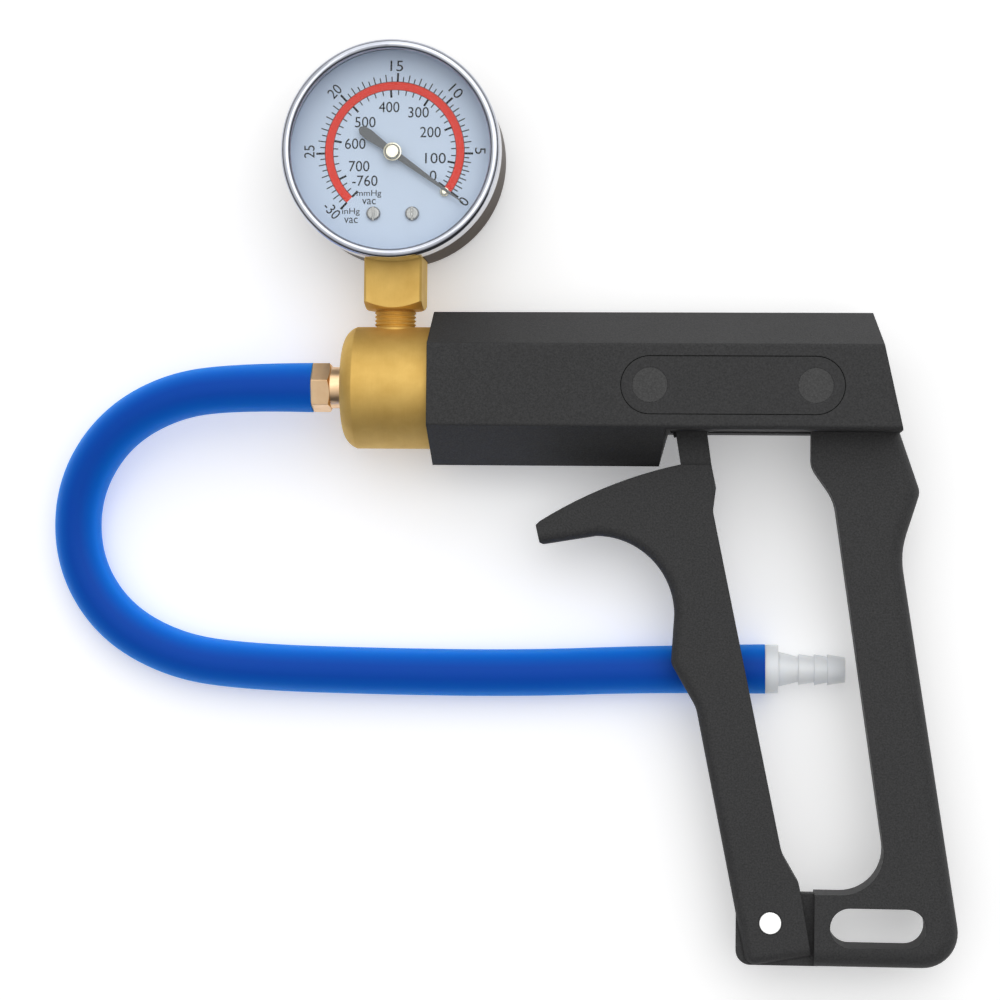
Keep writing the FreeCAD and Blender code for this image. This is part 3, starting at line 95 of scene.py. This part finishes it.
def make_camera():
    """Looks almost straight down at the table, a little from the right and from below."""
    back = Vector((math.sin(CAMERA_YAW) * math.cos(CAMERA_PITCH), math.sin(CAMERA_PITCH),
                   math.cos(CAMERA_YAW) * math.cos(CAMERA_PITCH)))
    level = Vector((math.cos(CAMERA_YAW), 0.0, -math.sin(CAMERA_YAW)))
    upright = back.cross(level)
    right = level * math.cos(CAMERA_ROLL) + upright * math.sin(CAMERA_ROLL)
    above = upright * math.cos(CAMERA_ROLL) - level * math.sin(CAMERA_ROLL)
    data = bpy.data.cameras.new("camera")
    data.lens = CAMERA_LENS
    data.sensor_width = SENSOR_WIDTH
    data.clip_start = NEAR_CLIP
    data.clip_end = FAR_CLIP
    camera = bpy.data.objects.new("camera", data)
    turn = Matrix((right, above, back)).transposed()
    camera.matrix_world = Matrix.Translation(CAMERA_PLACE) @ turn.to_4x4()
    bpy.context.scene.collection.objects.link(camera)
    bpy.context.scene.camera = camera


# ---------------------------------------------------------------- material helpers
BEVEL_SAMPLES = 6


def new_material(name, colour, roughness=0.5, metallic=0.0):
    """A Principled material; returns it with its node tree and shader node."""
    material = bpy.data.materials.new(name)
    material.use_nodes = True
    tree = material.node_tree
    shader = tree.nodes["Principled BSDF"]
    shader.inputs["Base Color"].default_value = (*colour, 1.0)
    shader.inputs["Roughness"].default_value = roughness
    shader.inputs["Metallic"].default_value = metallic
    return material, tree, shader


def object_coords(tree, scale=(1.0, 1.0, 1.0)):
    """The piece's own coordinates in metres, stretched by a scale."""
    coords = tree.nodes.new("ShaderNodeTexCoord")
    mapping = tree.nodes.new("ShaderNodeMapping")
    mapping.inputs["Scale"].default_value = scale
    tree.links.new(coords.outputs["Object"], mapping.inputs["Vector"])
    return mapping.outputs["Vector"]


def noise(tree, vector, scale, detail=3.0, roughness=0.55):
    """Cloud noise over a vector."""
    node = tree.nodes.new("ShaderNodeTexNoise")
    node.inputs["Scale"].default_value = scale
    node.inputs["Detail"].default_value = detail
    node.inputs["Roughness"].default_value = roughness
    tree.links.new(vector, node.inputs["Vector"])
    return node.outputs["Fac"]


def spread(tree, value, low, high, start=0.0, end=1.0):
    """Maps a value from one range to another."""
    node = tree.nodes.new("ShaderNodeMapRange")
    node.inputs["From Min"].default_value = start
    node.inputs["From Max"].default_value = end
    node.inputs["To Min"].default_value = low
    node.inputs["To Max"].default_value = high
    tree.links.new(value, node.inputs["Value"])
    return node.outputs["Result"]


def blend_colours(tree, factor, first, second):
    """Mixes two colours by a factor."""
    node = tree.nodes.new("ShaderNodeMix")
    node.data_type = "RGBA"
    node.inputs["A"].default_value = (*first, 1.0)
    node.inputs["B"].default_value = (*second, 1.0)
    tree.links.new(factor, node.inputs["Factor"])
    return node.outputs["Result"]


def add_bump(tree, shader, height, distance, strength=1.0, edge=0.0):
    """Raises the surface by a height map, and rounds sharp edges where edge is set."""
    bump = tree.nodes.new("ShaderNodeBump")
    bump.inputs["Distance"].default_value = distance
    bump.inputs["Strength"].default_value = strength
    tree.links.new(height, bump.inputs["Height"])
    if edge:
        bevel = tree.nodes.new("ShaderNodeBevel")
        bevel.samples = BEVEL_SAMPLES
        bevel.inputs["Radius"].default_value = edge
        tree.links.new(bevel.outputs["Normal"], bump.inputs["Normal"])
    tree.links.new(bump.outputs["Normal"], shader.inputs["Normal"])
    return bump


# ---------------------------------------------------------------- plastics and rubbers
GRAIN_SCALE = 2400.0
GRAIN_HEIGHT = 0.00005
GRAIN_STRENGTH = 0.75
BLOTCH_SCALE = 45.0
MATT_SPECULAR = 0.12
MOULDED_EDGE = 0.0003
FINE_EDGE = 0.0002
# Hose blues: deep blue where the hose faces up, and painted light down its flanks, a brighter blue
# where the surface faces sideways, standing in for light glowing through the silicone.
TOP_BLUE = (0.001, 0.07, 0.45)
PAINTED_LIGHT_FLANK_BLUE = (0.003, 0.2, 0.82)
PAINTED_LIGHT_FROM_FACING = 0.97
PAINTED_LIGHT_FULL_FACING = 0.5
HOSE_SCATTER = (0.0006, 0.0012, 0.004)
HOSE_SHEEN = (0.02, 0.4, 1.0, 1.0)
NYLON = (0.83, 0.86, 0.9)
NYLON_SCATTER = (0.002, 0.0022, 0.0026)
FINE_GRAIN_SCALE = 1500.0
FINE_GRAIN_HEIGHT = 0.00003
SKIN_HEIGHT = 0.00002


def moulded_black(name, dark, pale, roughness=0.56):
    """Matt black moulding: fine grain in colour and height, faint blotches in its gloss."""
    material, tree, shader = new_material(name, dark, roughness)
    vector = object_coords(tree)
    grain = noise(tree, vector, GRAIN_SCALE, 2.0, 0.7)
    blotch = noise(tree, vector, BLOTCH_SCALE, 4.0)
    share = spread(tree, grain, 0.0, 1.0, 0.3, 0.75)
    tree.links.new(blend_colours(tree, share, dark, pale), shader.inputs["Base Color"])
    tree.links.new(spread(tree, blotch, roughness - 0.04, roughness + 0.06),
                   shader.inputs["Roughness"])
    shader.inputs["Specular IOR Level"].default_value = MATT_SPECULAR
    add_bump(tree, shader, grain, GRAIN_HEIGHT, GRAIN_STRENGTH, edge=MOULDED_EDGE)
    return material


def blue_silicone():
    """Smooth blue silicone: deep where it faces up, with painted light down its flanks: a brighter
    blue where the surface turns sideways, standing in for light glowing through the silicone.
    """
    material, tree, shader = new_material("blue_silicone", TOP_BLUE, 0.5)
    vector = object_coords(tree)
    surface = tree.nodes.new("ShaderNodeNewGeometry")
    upward = tree.nodes.new("ShaderNodeSeparateXYZ")
    tree.links.new(surface.outputs["Normal"], upward.inputs["Vector"])
    # painted light: the blue brightens as the surface turns from facing up to facing sideways
    painted_light_share = spread(tree, upward.outputs["Z"], 0.0, 1.0, PAINTED_LIGHT_FROM_FACING, PAINTED_LIGHT_FULL_FACING)
    tree.links.new(blend_colours(tree, painted_light_share, TOP_BLUE, PAINTED_LIGHT_FLANK_BLUE),
                   shader.inputs["Base Color"])
    shader.inputs["Subsurface Weight"].default_value = 0.25
    shader.inputs["Subsurface Radius"].default_value = HOSE_SCATTER
    shader.inputs["Subsurface Scale"].default_value = 1.0
    shader.inputs["Sheen Weight"].default_value = 1.0
    shader.inputs["Sheen Roughness"].default_value = 0.3
    shader.inputs["Sheen Tint"].default_value = HOSE_SHEEN
    shader.inputs["Specular IOR Level"].default_value = MATT_SPECULAR
    add_bump(tree, shader, noise(tree, vector, 900.0, 2.0), SKIN_HEIGHT, 0.4)
    return material


def white_nylon():
    """Natural nylon moulding: milky, slightly see-through."""
    material, tree, shader = new_material("white_nylon", NYLON, 0.32)
    vector = object_coords(tree)
    shader.inputs["Subsurface Weight"].default_value = 0.6
    shader.inputs["Subsurface Radius"].default_value = NYLON_SCATTER
    shader.inputs["Subsurface Scale"].default_value = 1.0
    shader.inputs["Coat Weight"].default_value = 0.2
    add_bump(tree, shader, noise(tree, vector, 700.0, 2.0), SKIN_HEIGHT, 0.3, edge=FINE_EDGE)
    return material


def plain_plastic(name, colour, roughness):
    """A plain turned or moulded plastic or rubber with a faint grain."""
    material, tree, shader = new_material(name, colour, roughness)
    vector = object_coords(tree)
    grain = noise(tree, vector, FINE_GRAIN_SCALE, 2.0)
    darker = tuple(part * 0.85 for part in colour)
    tree.links.new(blend_colours(tree, grain, darker, colour), shader.inputs["Base Color"])
    add_bump(tree, shader, grain, FINE_GRAIN_HEIGHT, 0.5, edge=FINE_EDGE)
    return material


# ---------------------------------------------------------------- metals, lens and ink
STAIN_SCALE = 160.0
LINE_DEPTH = 0.00002
LENS_TINT = (0.97, 0.985, 0.99, 1.0)
LENS_GLOSS = 0.01
LENS_EDGE_GLOSS = 0.4
LENS_GLOSS_POWER = 5.0
BLACK_INK = (0.012, 0.013, 0.018)
RED_INK = (0.85, 0.05, 0.03)
INK_SPECULAR = 0.2


def worked_metal(name, colour, tint, roughness, lines, line_depth=LINE_DEPTH, edge=FINE_EDGE):
    """Metal with fine tool marks: lines gives how finely the marks repeat along each axis."""
    material, tree, shader = new_material(name, colour, roughness, metallic=1.0)
    marks = noise(tree, object_coords(tree, lines), 1.0, 4.0, 0.65)
    stain = noise(tree, object_coords(tree), STAIN_SCALE, 4.0, 0.6)
    share = spread(tree, stain, 0.0, 1.0, 0.35, 0.7)
    tree.links.new(blend_colours(tree, share, colour, tint), shader.inputs["Base Color"])
    tree.links.new(spread(tree, marks, roughness - 0.07, roughness + 0.1),
                   shader.inputs["Roughness"])
    add_bump(tree, shader, marks, line_depth, 0.6, edge=edge)
    return material


def clear_lens():
    """Flat clear lens: see-through, with a mirror gloss that grows at grazing angles."""
    material = bpy.data.materials.new("clear_lens")
    material.use_nodes = True
    tree = material.node_tree
    tree.nodes.remove(tree.nodes["Principled BSDF"])
    clear = tree.nodes.new("ShaderNodeBsdfTransparent")
    clear.inputs["Color"].default_value = LENS_TINT
    gloss = tree.nodes.new("ShaderNodeBsdfGlossy")
    gloss.inputs["Roughness"].default_value = 0.03
    facing = tree.nodes.new("ShaderNodeLayerWeight")
    steep = tree.nodes.new("ShaderNodeMath")
    steep.operation = "POWER"
    steep.inputs[1].default_value = LENS_GLOSS_POWER
    tree.links.new(facing.outputs["Facing"], steep.inputs[0])
    mix = tree.nodes.new("ShaderNodeMixShader")
    share = spread(tree, steep.outputs["Value"], LENS_GLOSS, LENS_EDGE_GLOSS)
    tree.links.new(share, mix.inputs["Fac"])
    tree.links.new(clear.outputs["BSDF"], mix.inputs[1])
    tree.links.new(gloss.outputs["BSDF"], mix.inputs[2])
    tree.links.new(mix.outputs["Shader"], tree.nodes["Material Output"].inputs["Surface"])
    return material


def printed(name, colour, roughness=0.45):
    """Printing ink or paint with a trace of unevenness."""
    material, tree, shader = new_material(name, colour, roughness)
    cloud = noise(tree, object_coords(tree), 500.0, 3.0)
    paler = tuple(min(1.0, part * 1.05 + 0.004) for part in colour)
    tree.links.new(blend_colours(tree, cloud, colour, paler), shader.inputs["Base Color"])
    shader.inputs["Specular IOR Level"].default_value = INK_SPECULAR
    add_bump(tree, shader, cloud, 0.00001, 0.3)
    return material


SLOT_MATERIALS = {
    "black_plastic": moulded_black("black_plastic", (0.033, 0.033, 0.0335), (0.059, 0.059, 0.06)),
    "cover_plastic": moulded_black("cover_plastic", (0.033, 0.033, 0.0335), (0.058, 0.058, 0.059)),
    "stud_plastic": moulded_black("stud_plastic", (0.05, 0.05, 0.05), (0.085, 0.085, 0.085), 0.5),
    "satin_brass": worked_metal("satin_brass", (0.78, 0.54, 0.17), (0.7, 0.46, 0.13), 0.62,
                                (9000.0, 160.0, 160.0)),
    "copper_brass": worked_metal("copper_brass", (0.95, 0.68, 0.42), (0.85, 0.55, 0.3), 0.3,
                                 (700.0, 5000.0, 5000.0), 0.00003),
    "blue_silicone": blue_silicone(),
    "white_nylon": white_nylon(),
    "chrome": worked_metal("chrome", (0.56, 0.58, 0.64), (0.48, 0.5, 0.56), 0.1,
                           (90.0, 90.0, 90.0), 0.000004),
    "dark_chrome": worked_metal("dark_chrome", (0.12, 0.11, 0.1), (0.09, 0.08, 0.075), 0.24,
                                (90.0, 90.0, 6000.0), 0.00001),
    "clear_lens": clear_lens(),
    "dial_paint": printed("dial_paint", (0.64, 0.71, 0.84)),
    "pointer_paint": printed("pointer_paint", (0.16, 0.16, 0.165), 0.35),
    "pale_brass": worked_metal("pale_brass", (0.9, 0.84, 0.7), (0.8, 0.72, 0.55), 0.24,
                               (800.0, 800.0, 800.0)),
    "zinc_steel": worked_metal("zinc_steel", (0.42, 0.4, 0.38), (0.34, 0.33, 0.32), 0.28,
                               (900.0, 900.0, 900.0)),
    "ground_steel": worked_metal("ground_steel", (0.6, 0.6, 0.61), (0.5, 0.5, 0.52), 0.25,
                                 (6000.0, 200.0, 200.0)),
    "spring_steel": worked_metal("spring_steel", (0.45, 0.45, 0.46), (0.35, 0.35, 0.36), 0.32,
                                 (900.0, 900.0, 900.0)),
    "seal_rubber": plain_plastic("seal_rubber", (0.02, 0.02, 0.02), 0.7),
    "movement_brass": worked_metal("movement_brass", (0.82, 0.6, 0.25), (0.7, 0.48, 0.17), 0.3,
                                   (900.0, 4000.0, 900.0)),
    "liner_aluminium": worked_metal("liner_aluminium", (0.78, 0.78, 0.79), (0.7, 0.7, 0.72), 0.28,
                                    (7000.0, 150.0, 150.0)),
    "white_acetal": plain_plastic("white_acetal", (0.82, 0.82, 0.79), 0.4),
}
BRIGHT_PINS = ("pivot_pin", "link_pin")
# painted light: a pale colour for the case wall above the dial, standing in for light falling
# through the lens
CASE_INSIDE_PAINTED_LIGHT = (0.6, 0.66, 0.78)
CASE_EDGE_TINT = (0.35, 0.32, 0.3, 1.0)


def paint_light_inside_case():
    """Paints the part of the gauge case above the dial, which is seen through the lens, pale and
    not metallic: painted light standing in for light falling through the lens onto the case's
    inner wall.
    """
    tree = SLOT_MATERIALS["dark_chrome"].node_tree
    shader = tree.nodes["Principled BSDF"]
    place = tree.nodes.new("ShaderNodeNewGeometry")
    split = tree.nodes.new("ShaderNodeSeparateXYZ")
    tree.links.new(place.outputs["Position"], split.inputs["Vector"])
    # painted light: all of the case above the dial's top is painted pale and made non-metallic
    above = tree.nodes.new("ShaderNodeMath")
    above.operation = "GREATER_THAN"
    above.inputs[1].default_value = DIAL_TOP
    tree.links.new(split.outputs["Z"], above.inputs[0])
    mix = tree.nodes.new("ShaderNodeMix")
    mix.data_type = "RGBA"
    mix.inputs["B"].default_value = (*CASE_INSIDE_PAINTED_LIGHT, 1.0)
    tree.links.new(above.outputs["Value"], mix.inputs["Factor"])
    tree.links.new(shader.inputs["Base Color"].links[0].from_socket, mix.inputs["A"])
    tree.links.new(mix.outputs["Result"], shader.inputs["Base Color"])
    tree.links.new(spread(tree, above.outputs["Value"], 1.0, 0.0), shader.inputs["Metallic"])
    shader.inputs["Specular Tint"].default_value = CASE_EDGE_TINT


def dress_nodes():
    """Gives every CAD node the material of its slot in the record, and the pins a brighter one."""
    paint_light_inside_case()
    bright = worked_metal("bright_pin", (0.95, 0.95, 0.94), (0.88, 0.88, 0.87), 0.3,
                          (900.0, 900.0, 900.0))
    for row in frame["record"]["subparts"]:
        shape = nodes[row["node"]]
        shape.data.materials.clear()
        shape.data.materials.append(SLOT_MATERIALS[row["material_slot"]])
    for name in BRIGHT_PINS:
        nodes[name].data.materials[0] = bright


def smooth(piece, degrees=40.0):
    """Smooth shading with sharp edges kept."""
    for face in piece.data.polygons:
        face.use_smooth = True
    piece.data.set_sharp_from_angle(angle=math.radians(degrees))


# ---------------------------------------------------------------- floor, light and world
TENT_TOP = (0.0, 0.3, 0.954)
TENT_STRENGTH = 0.95
TENT_DARK = (0.03, 0.03, 0.033, 1.0)
TENT_DARK_END = 0.2
TENT_BRIGHT = (1.0, 1.0, 1.0, 1.0)
TENT_BRIGHT_START = 0.85
FLOOR_SIZE = 60.0
FLOOR_PAINT = (0.95, 0.95, 0.95)
FLOOR_GLOW = 0.25
KEY_PLACE = (-0.3, 1.5, 1.4)
KEY_SIZE = 1.2
KEY_POWER = 3.0
TOP_PLACE = (0.5, 0.6, 1.9)
TOP_SIZE = 1.8
TOP_POWER = 12.0


def make_floor():
    """A plain pale tabletop that the pump lies on."""
    bpy.ops.mesh.primitive_plane_add(size=FLOOR_SIZE, location=(0.0, 0.0, 0.0))
    floor = bpy.context.object
    floor.name = "table_top"
    material, _, shader = new_material("table_paint", FLOOR_PAINT, 0.9)
    shader.inputs["Specular IOR Level"].default_value = 0.1
    shader.inputs["Emission Color"].default_value = (1.0, 1.0, 1.0, 1.0)
    shader.inputs["Emission Strength"].default_value = FLOOR_GLOW
    floor.data.materials.append(material)


def make_light(name, place, aim, size, power):
    """A square soft light aimed at a point."""
    data = bpy.data.lights.new(name, "AREA")
    data.size = size
    data.energy = power
    lamp = bpy.data.objects.new(name, data)
    lamp.location = place
    lamp.rotation_mode = "QUATERNION"
    lamp.rotation_quaternion = (Vector(place) - Vector(aim)).to_track_quat("Z", "Y")
    bpy.context.scene.collection.objects.link(lamp)


def make_studio():
    """A light tent: brightest above and behind the barrel, dark low down and towards the grip."""
    scene = bpy.context.scene
    scene.view_settings.view_transform = "Standard"
    world = bpy.data.worlds.new("studio")
    scene.world = world
    world.use_nodes = True
    tree = world.node_tree
    back = tree.nodes["Background"]
    coords = tree.nodes.new("ShaderNodeTexCoord")
    height = tree.nodes.new("ShaderNodeVectorMath")
    height.operation = "DOT_PRODUCT"
    height.inputs[1].default_value = TENT_TOP
    ramp = tree.nodes.new("ShaderNodeValToRGB")
    tree.links.new(coords.outputs["Generated"], height.inputs[0])
    tree.links.new(height.outputs["Value"], ramp.inputs["Fac"])
    tree.links.new(ramp.outputs["Color"], back.inputs["Color"])
    dark, bright = ramp.color_ramp.elements
    dark.position = TENT_DARK_END
    dark.color = TENT_DARK
    bright.position = TENT_BRIGHT_START
    bright.color = TENT_BRIGHT
    back.inputs["Strength"].default_value = TENT_STRENGTH
    middle = (0.0, 0.0, 0.0)
    make_light("key_light", KEY_PLACE, middle, KEY_SIZE, KEY_POWER)
    make_light("top_light", TOP_PLACE, middle, TOP_SIZE, TOP_POWER)


# ---------------------------------------------------------------- hose
HOSE_DIAMETER = 11.5 * MM
HOSE_SWELL = 1.05
HOSE_STEPS = 24
HOSE_SIDES = 14
HOSE_ROUTE = [(-29.4, 0, 0), (-47, 0.1, 0), (-64.5, -2, -1.2), (-79.8, -10.6, -4.4),
              (-89.2, -25.4, -8.6), (-89.4, -43, -10.9), (-80.4, -57.6, -10.9),
              (-64.6, -66.2, -10.9), (-46, -68.6, -10.9), (-15, -69.3, -10.9),
              (21, -69.4, -10.9), (54, -67.9, -10.9), (80.9, -67.6, -10.9)]


def make_hose():
    """The blue hose: one smooth line, a little wider where it is pushed over its two barbs."""
    data = bpy.data.curves.new("blue_hose", "CURVE")
    data.dimensions = "3D"
    spline = data.splines.new("NURBS")
    spline.points.add(len(HOSE_ROUTE) - 1)
    for point, place in zip(spline.points, HOSE_ROUTE):
        point.co = (*from_axis(*place), 1.0)
        point.radius = 1.0
    spline.order_u = 3
    spline.use_endpoint_u = True
    spline.resolution_u = HOSE_STEPS
    for end in (0, -1):
        spline.points[end].radius = HOSE_SWELL
    data.bevel_depth = HOSE_DIAMETER / 2
    data.bevel_resolution = HOSE_SIDES
    data.use_fill_caps = True
    hose = bpy.data.objects.new("blue_hose", data)
    bpy.context.scene.collection.objects.link(hose)
    data.materials.append(SLOT_MATERIALS["blue_silicone"])
    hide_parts("hose")
    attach(hose, "pump_body")


# ---------------------------------------------------------------- return spring
SPRING_TURNS = 9
SPRING_WIRE_RADIUS = 0.7 * MM
STEPS_ROUND = 28
WIRE_SIDES = 10
END_FLATTENING = 0.035


def make_spring():
    """The piston's coil spring, with flattened end turns."""
    low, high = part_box("return_spring")
    ring = (high.y - low.y) / 2 - SPRING_WIRE_RADIUS
    middle = (low + high) / 2
    pitch_length = high.x - low.x - 2 * SPRING_WIRE_RADIUS
    mesh = bmesh.new()
    rings = []
    total = SPRING_TURNS * STEPS_ROUND
    for step in range(total + 1):
        share = step / total
        turn = 2 * math.pi * step / STEPS_ROUND
        eased = share + END_FLATTENING * math.sin(2 * math.pi * share) / math.pi
        along = low.x + SPRING_WIRE_RADIUS + pitch_length * (2 * share - eased)
        outward = Vector((0.0, math.cos(turn), math.sin(turn)))
        centre = Vector((along, middle.y, middle.z)) + outward * ring
        loop = []
        for side in range(WIRE_SIDES):
            angle = 2 * math.pi * side / WIRE_SIDES
            offset = outward * math.cos(angle) + Vector((math.sin(angle), 0.0, 0.0))
            loop.append(mesh.verts.new(centre + offset * SPRING_WIRE_RADIUS))
        rings.append(loop)
    for first, second in zip(rings, rings[1:]):
        for side in range(WIRE_SIDES):
            following = (side + 1) % WIRE_SIDES
            mesh.faces.new((first[side], first[following], second[following], second[side]))
    mesh.faces.new(rings[0][::-1])
    mesh.faces.new(rings[-1])
    bmesh.ops.recalc_face_normals(mesh, faces=mesh.faces)
    data = bpy.data.meshes.new("coil_spring")
    mesh.to_mesh(data)
    mesh.free()
    spring = bpy.data.objects.new("coil_spring", data)
    bpy.context.scene.collection.objects.link(spring)
    smooth(spring)
    data.materials.append(SLOT_MATERIALS["spring_steel"])
    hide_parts("return_spring")
    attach(spring, "pump_body")
    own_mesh(spring)


# ---------------------------------------------------------------- printed dial
INK_HEIGHT = 0.04 * MM
BAND_INNER = 14.95
BAND_OUTER = 16.83
BAND_LINE = 0.12
OUTER_SCALE = {0: -35.5, 5: -1.5, 10: 43.0, 15: 88.0, 20: 134.0, 25: 181.5, 30: 227.0}
INNER_SCALE = {0: -35.0, 100: -10.7, 200: 23.0, 300: 57.5, 400: 94.0, 500: 133.0, 600: 170.0,
               700: 206.6, 760: 227.0}
OUTER_NUMERALS = [("0", -35.6), ("5", 0.4), ("10", 44.5), ("15", 89.1), ("20", 135.2),
                  ("25", 180.0), ("-30", 223.3)]
INNER_NUMERALS = [("0", 9.37, -5.86), ("100", 9.9, -1.6), ("200", 8.63, 4.69),
                  ("300", 5.7, 9.48), ("400", -1.44, 10.76), ("500", -7.19, 7.14),
                  ("600", -9.58, 1.92), ("700", -8.57, -3.51), ("-760", -7.14, -7.03)]
UNIT_WORDS = [("mmHg", -6.12, -10.22, 5.96), ("vac", -6.12, -12.09, 3.3),
              ("inHg", -10.44, -14.59, 4.26), ("vac", -10.44, -16.61, 3.3)]
NUMERAL_HEIGHT = 2.56
NUMERAL_WIDTH = 1.54
INNER_NUMERAL_WIDTH = NUMERAL_WIDTH * 1.08
OUTER_MINUS_FIT = 0.9
INNER_MINUS_FIT = 0.92
TURNED_ROUND_FROM = 200
UNIT_HEIGHT = 1.86
SMALL_UNIT_HEIGHT = 1.33
RIM_INNER = 24.1
RIM_OUTER = 25.0
OUTER_NUMERAL_RADIUS = 20.7
MAIN_MARK_END = 19.0
UNIT_MARK_END = 18.7
HALF_MARK_END = 18.1
INNER_MAIN_MARK_START = 13.05
INNER_MARK_START = 13.7
LONG_WIDTH = 0.5
SHORT_WIDTH = 0.26


def dial_point(radius, degrees, middle=PRINT_MIDDLE):
    """A place on the dial's face, radius in millimetres from its middle."""
    angle = math.radians(degrees)
    return Vector((middle.x + radius * MM * math.cos(angle),
                   middle.y + radius * MM * math.sin(angle), DIAL_TOP + INK_HEIGHT))


def dial_place(x, y):
    """A place on the dial's face, in millimetres across and up from its middle."""
    return Vector((PRINT_MIDDLE.x + x * MM, PRINT_MIDDLE.y + y * MM, DIAL_TOP + INK_HEIGHT))


def scale_angle(scale, value):
    """The angle of a value, between the marked values round it."""
    marks = sorted(scale)
    for low, high in zip(marks, marks[1:]):
        if low <= value <= high:
            share = (value - low) / (high - low)
            return scale[low] + share * (scale[high] - scale[low])
    raise ValueError(value)


def print_piece(name, mesh, material):
    """Turns flat ink into a piece on the dial."""
    data = bpy.data.meshes.new(name)
    mesh.to_mesh(data)
    mesh.free()
    piece = bpy.data.objects.new(name, data)
    bpy.context.scene.collection.objects.link(piece)
    data.materials.append(material)
    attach(piece, "pump_body")


def add_arc(mesh, inner, outer, start, end, middle=PRINT_MIDDLE, steps=120):
    """A strip of ink round the dial's middle."""
    before = None
    for step in range(steps + 1):
        degrees = start + (end - start) * step / steps
        pair = (mesh.verts.new(dial_point(inner, degrees, middle)),
                mesh.verts.new(dial_point(outer, degrees, middle)))
        if before:
            mesh.faces.new((before[0], before[1], pair[1], pair[0]))
        before = pair


def add_tick(mesh, inner, outer, degrees, width):
    """One straight mark that points away from the dial's middle."""
    aside = Vector((-math.sin(math.radians(degrees)), math.cos(math.radians(degrees)), 0.0))
    half = aside * width * MM / 2
    corners = (dial_point(inner, degrees) - half, dial_point(outer, degrees) - half,
               dial_point(outer, degrees) + half, dial_point(inner, degrees) + half)
    mesh.faces.new([mesh.verts.new(corner) for corner in corners])


def add_text(mesh, text, place, width, height, turn=0.0):
    """Writes numerals or a unit, fitted to a width and height in millimetres."""
    letters = bpy.data.curves.new("letters", "FONT")
    letters.body = text
    letters.resolution_u = 4
    writer = bpy.data.objects.new("letters", letters)
    shape = bpy.data.meshes.new_from_object(writer)
    low = Vector([min(v.co[i] for v in shape.vertices) for i in range(3)])
    high = Vector([max(v.co[i] for v in shape.vertices) for i in range(3)])
    size = high - low
    middle = (low + high) / 2
    fit = Matrix.Diagonal((width * MM / size.x, height * MM / size.y, 1.0, 1.0))
    turned = Matrix.Rotation(math.radians(turn), 4, "Z")
    shape.transform(Matrix.Translation(place) @ turned @ fit @ Matrix.Translation(-middle))
    mesh.from_mesh(shape)
    bpy.data.objects.remove(writer)
    bpy.data.curves.remove(letters)
    bpy.data.meshes.remove(shape)


def make_dial_print():
    """The dial's red band, scales, numerals and units, and the spacer ring round its edge."""
    ink = printed("dial_ink", BLACK_INK, 0.5)
    red = printed("dial_red", RED_INK, 0.5)
    rim = bmesh.new()
    add_arc(rim, RIM_INNER, RIM_OUTER, 0.0, 360.0, middle=GAUGE)
    print_piece("dial_rim", rim, SLOT_MATERIALS["dial_paint"])
    start, end = OUTER_SCALE[0], OUTER_SCALE[30]
    band = bmesh.new()
    add_arc(band, BAND_INNER, BAND_OUTER, start, end)
    print_piece("dial_band", band, red)
    marks = bmesh.new()
    add_arc(marks, BAND_OUTER, BAND_OUTER + BAND_LINE, start, end)
    add_arc(marks, BAND_INNER - BAND_LINE, BAND_INNER, start, end)
    for half in range(61):
        degrees = scale_angle(OUTER_SCALE, half / 2)
        if half % 10 == 0:
            add_tick(marks, BAND_OUTER, MAIN_MARK_END, degrees, LONG_WIDTH)
        elif half % 2 == 0:
            add_tick(marks, BAND_OUTER, UNIT_MARK_END, degrees, SHORT_WIDTH)
        else:
            add_tick(marks, BAND_OUTER, HALF_MARK_END, degrees, SHORT_WIDTH)
    for value in range(0, 761, 20):
        degrees = scale_angle(INNER_SCALE, value)
        if value % 100 == 0 or value == 760:
            add_tick(marks, INNER_MAIN_MARK_START, BAND_INNER, degrees, LONG_WIDTH)
        else:
            add_tick(marks, INNER_MARK_START, BAND_INNER, degrees, SHORT_WIDTH)
    print_piece("dial_marks", marks, ink)
    numerals = bmesh.new()
    for text, degrees in OUTER_NUMERALS:
        width = NUMERAL_WIDTH * len(text) * (OUTER_MINUS_FIT if "-" in text else 1.0)
        turn = degrees + 90 if degrees > TURNED_ROUND_FROM else degrees - 90
        add_text(numerals, text, dial_point(OUTER_NUMERAL_RADIUS, degrees), width,
                 NUMERAL_HEIGHT, turn)
    for text, x, y in INNER_NUMERALS:
        width = INNER_NUMERAL_WIDTH * len(text) * (INNER_MINUS_FIT if "-" in text else 1.0)
        add_text(numerals, text, dial_place(x, y), width, NUMERAL_HEIGHT)
    for text, x, y, width in UNIT_WORDS:
        height = UNIT_HEIGHT if "Hg" in text else SMALL_UNIT_HEIGHT
        add_text(numerals, text, dial_place(x, y), width, height)
    print_piece("dial_numerals", numerals, ink)


# ---------------------------------------------------------------- build the scene
make_camera()
dress_nodes()
make_hose()
make_spring()
make_dial_print()
make_floor()
make_studio()
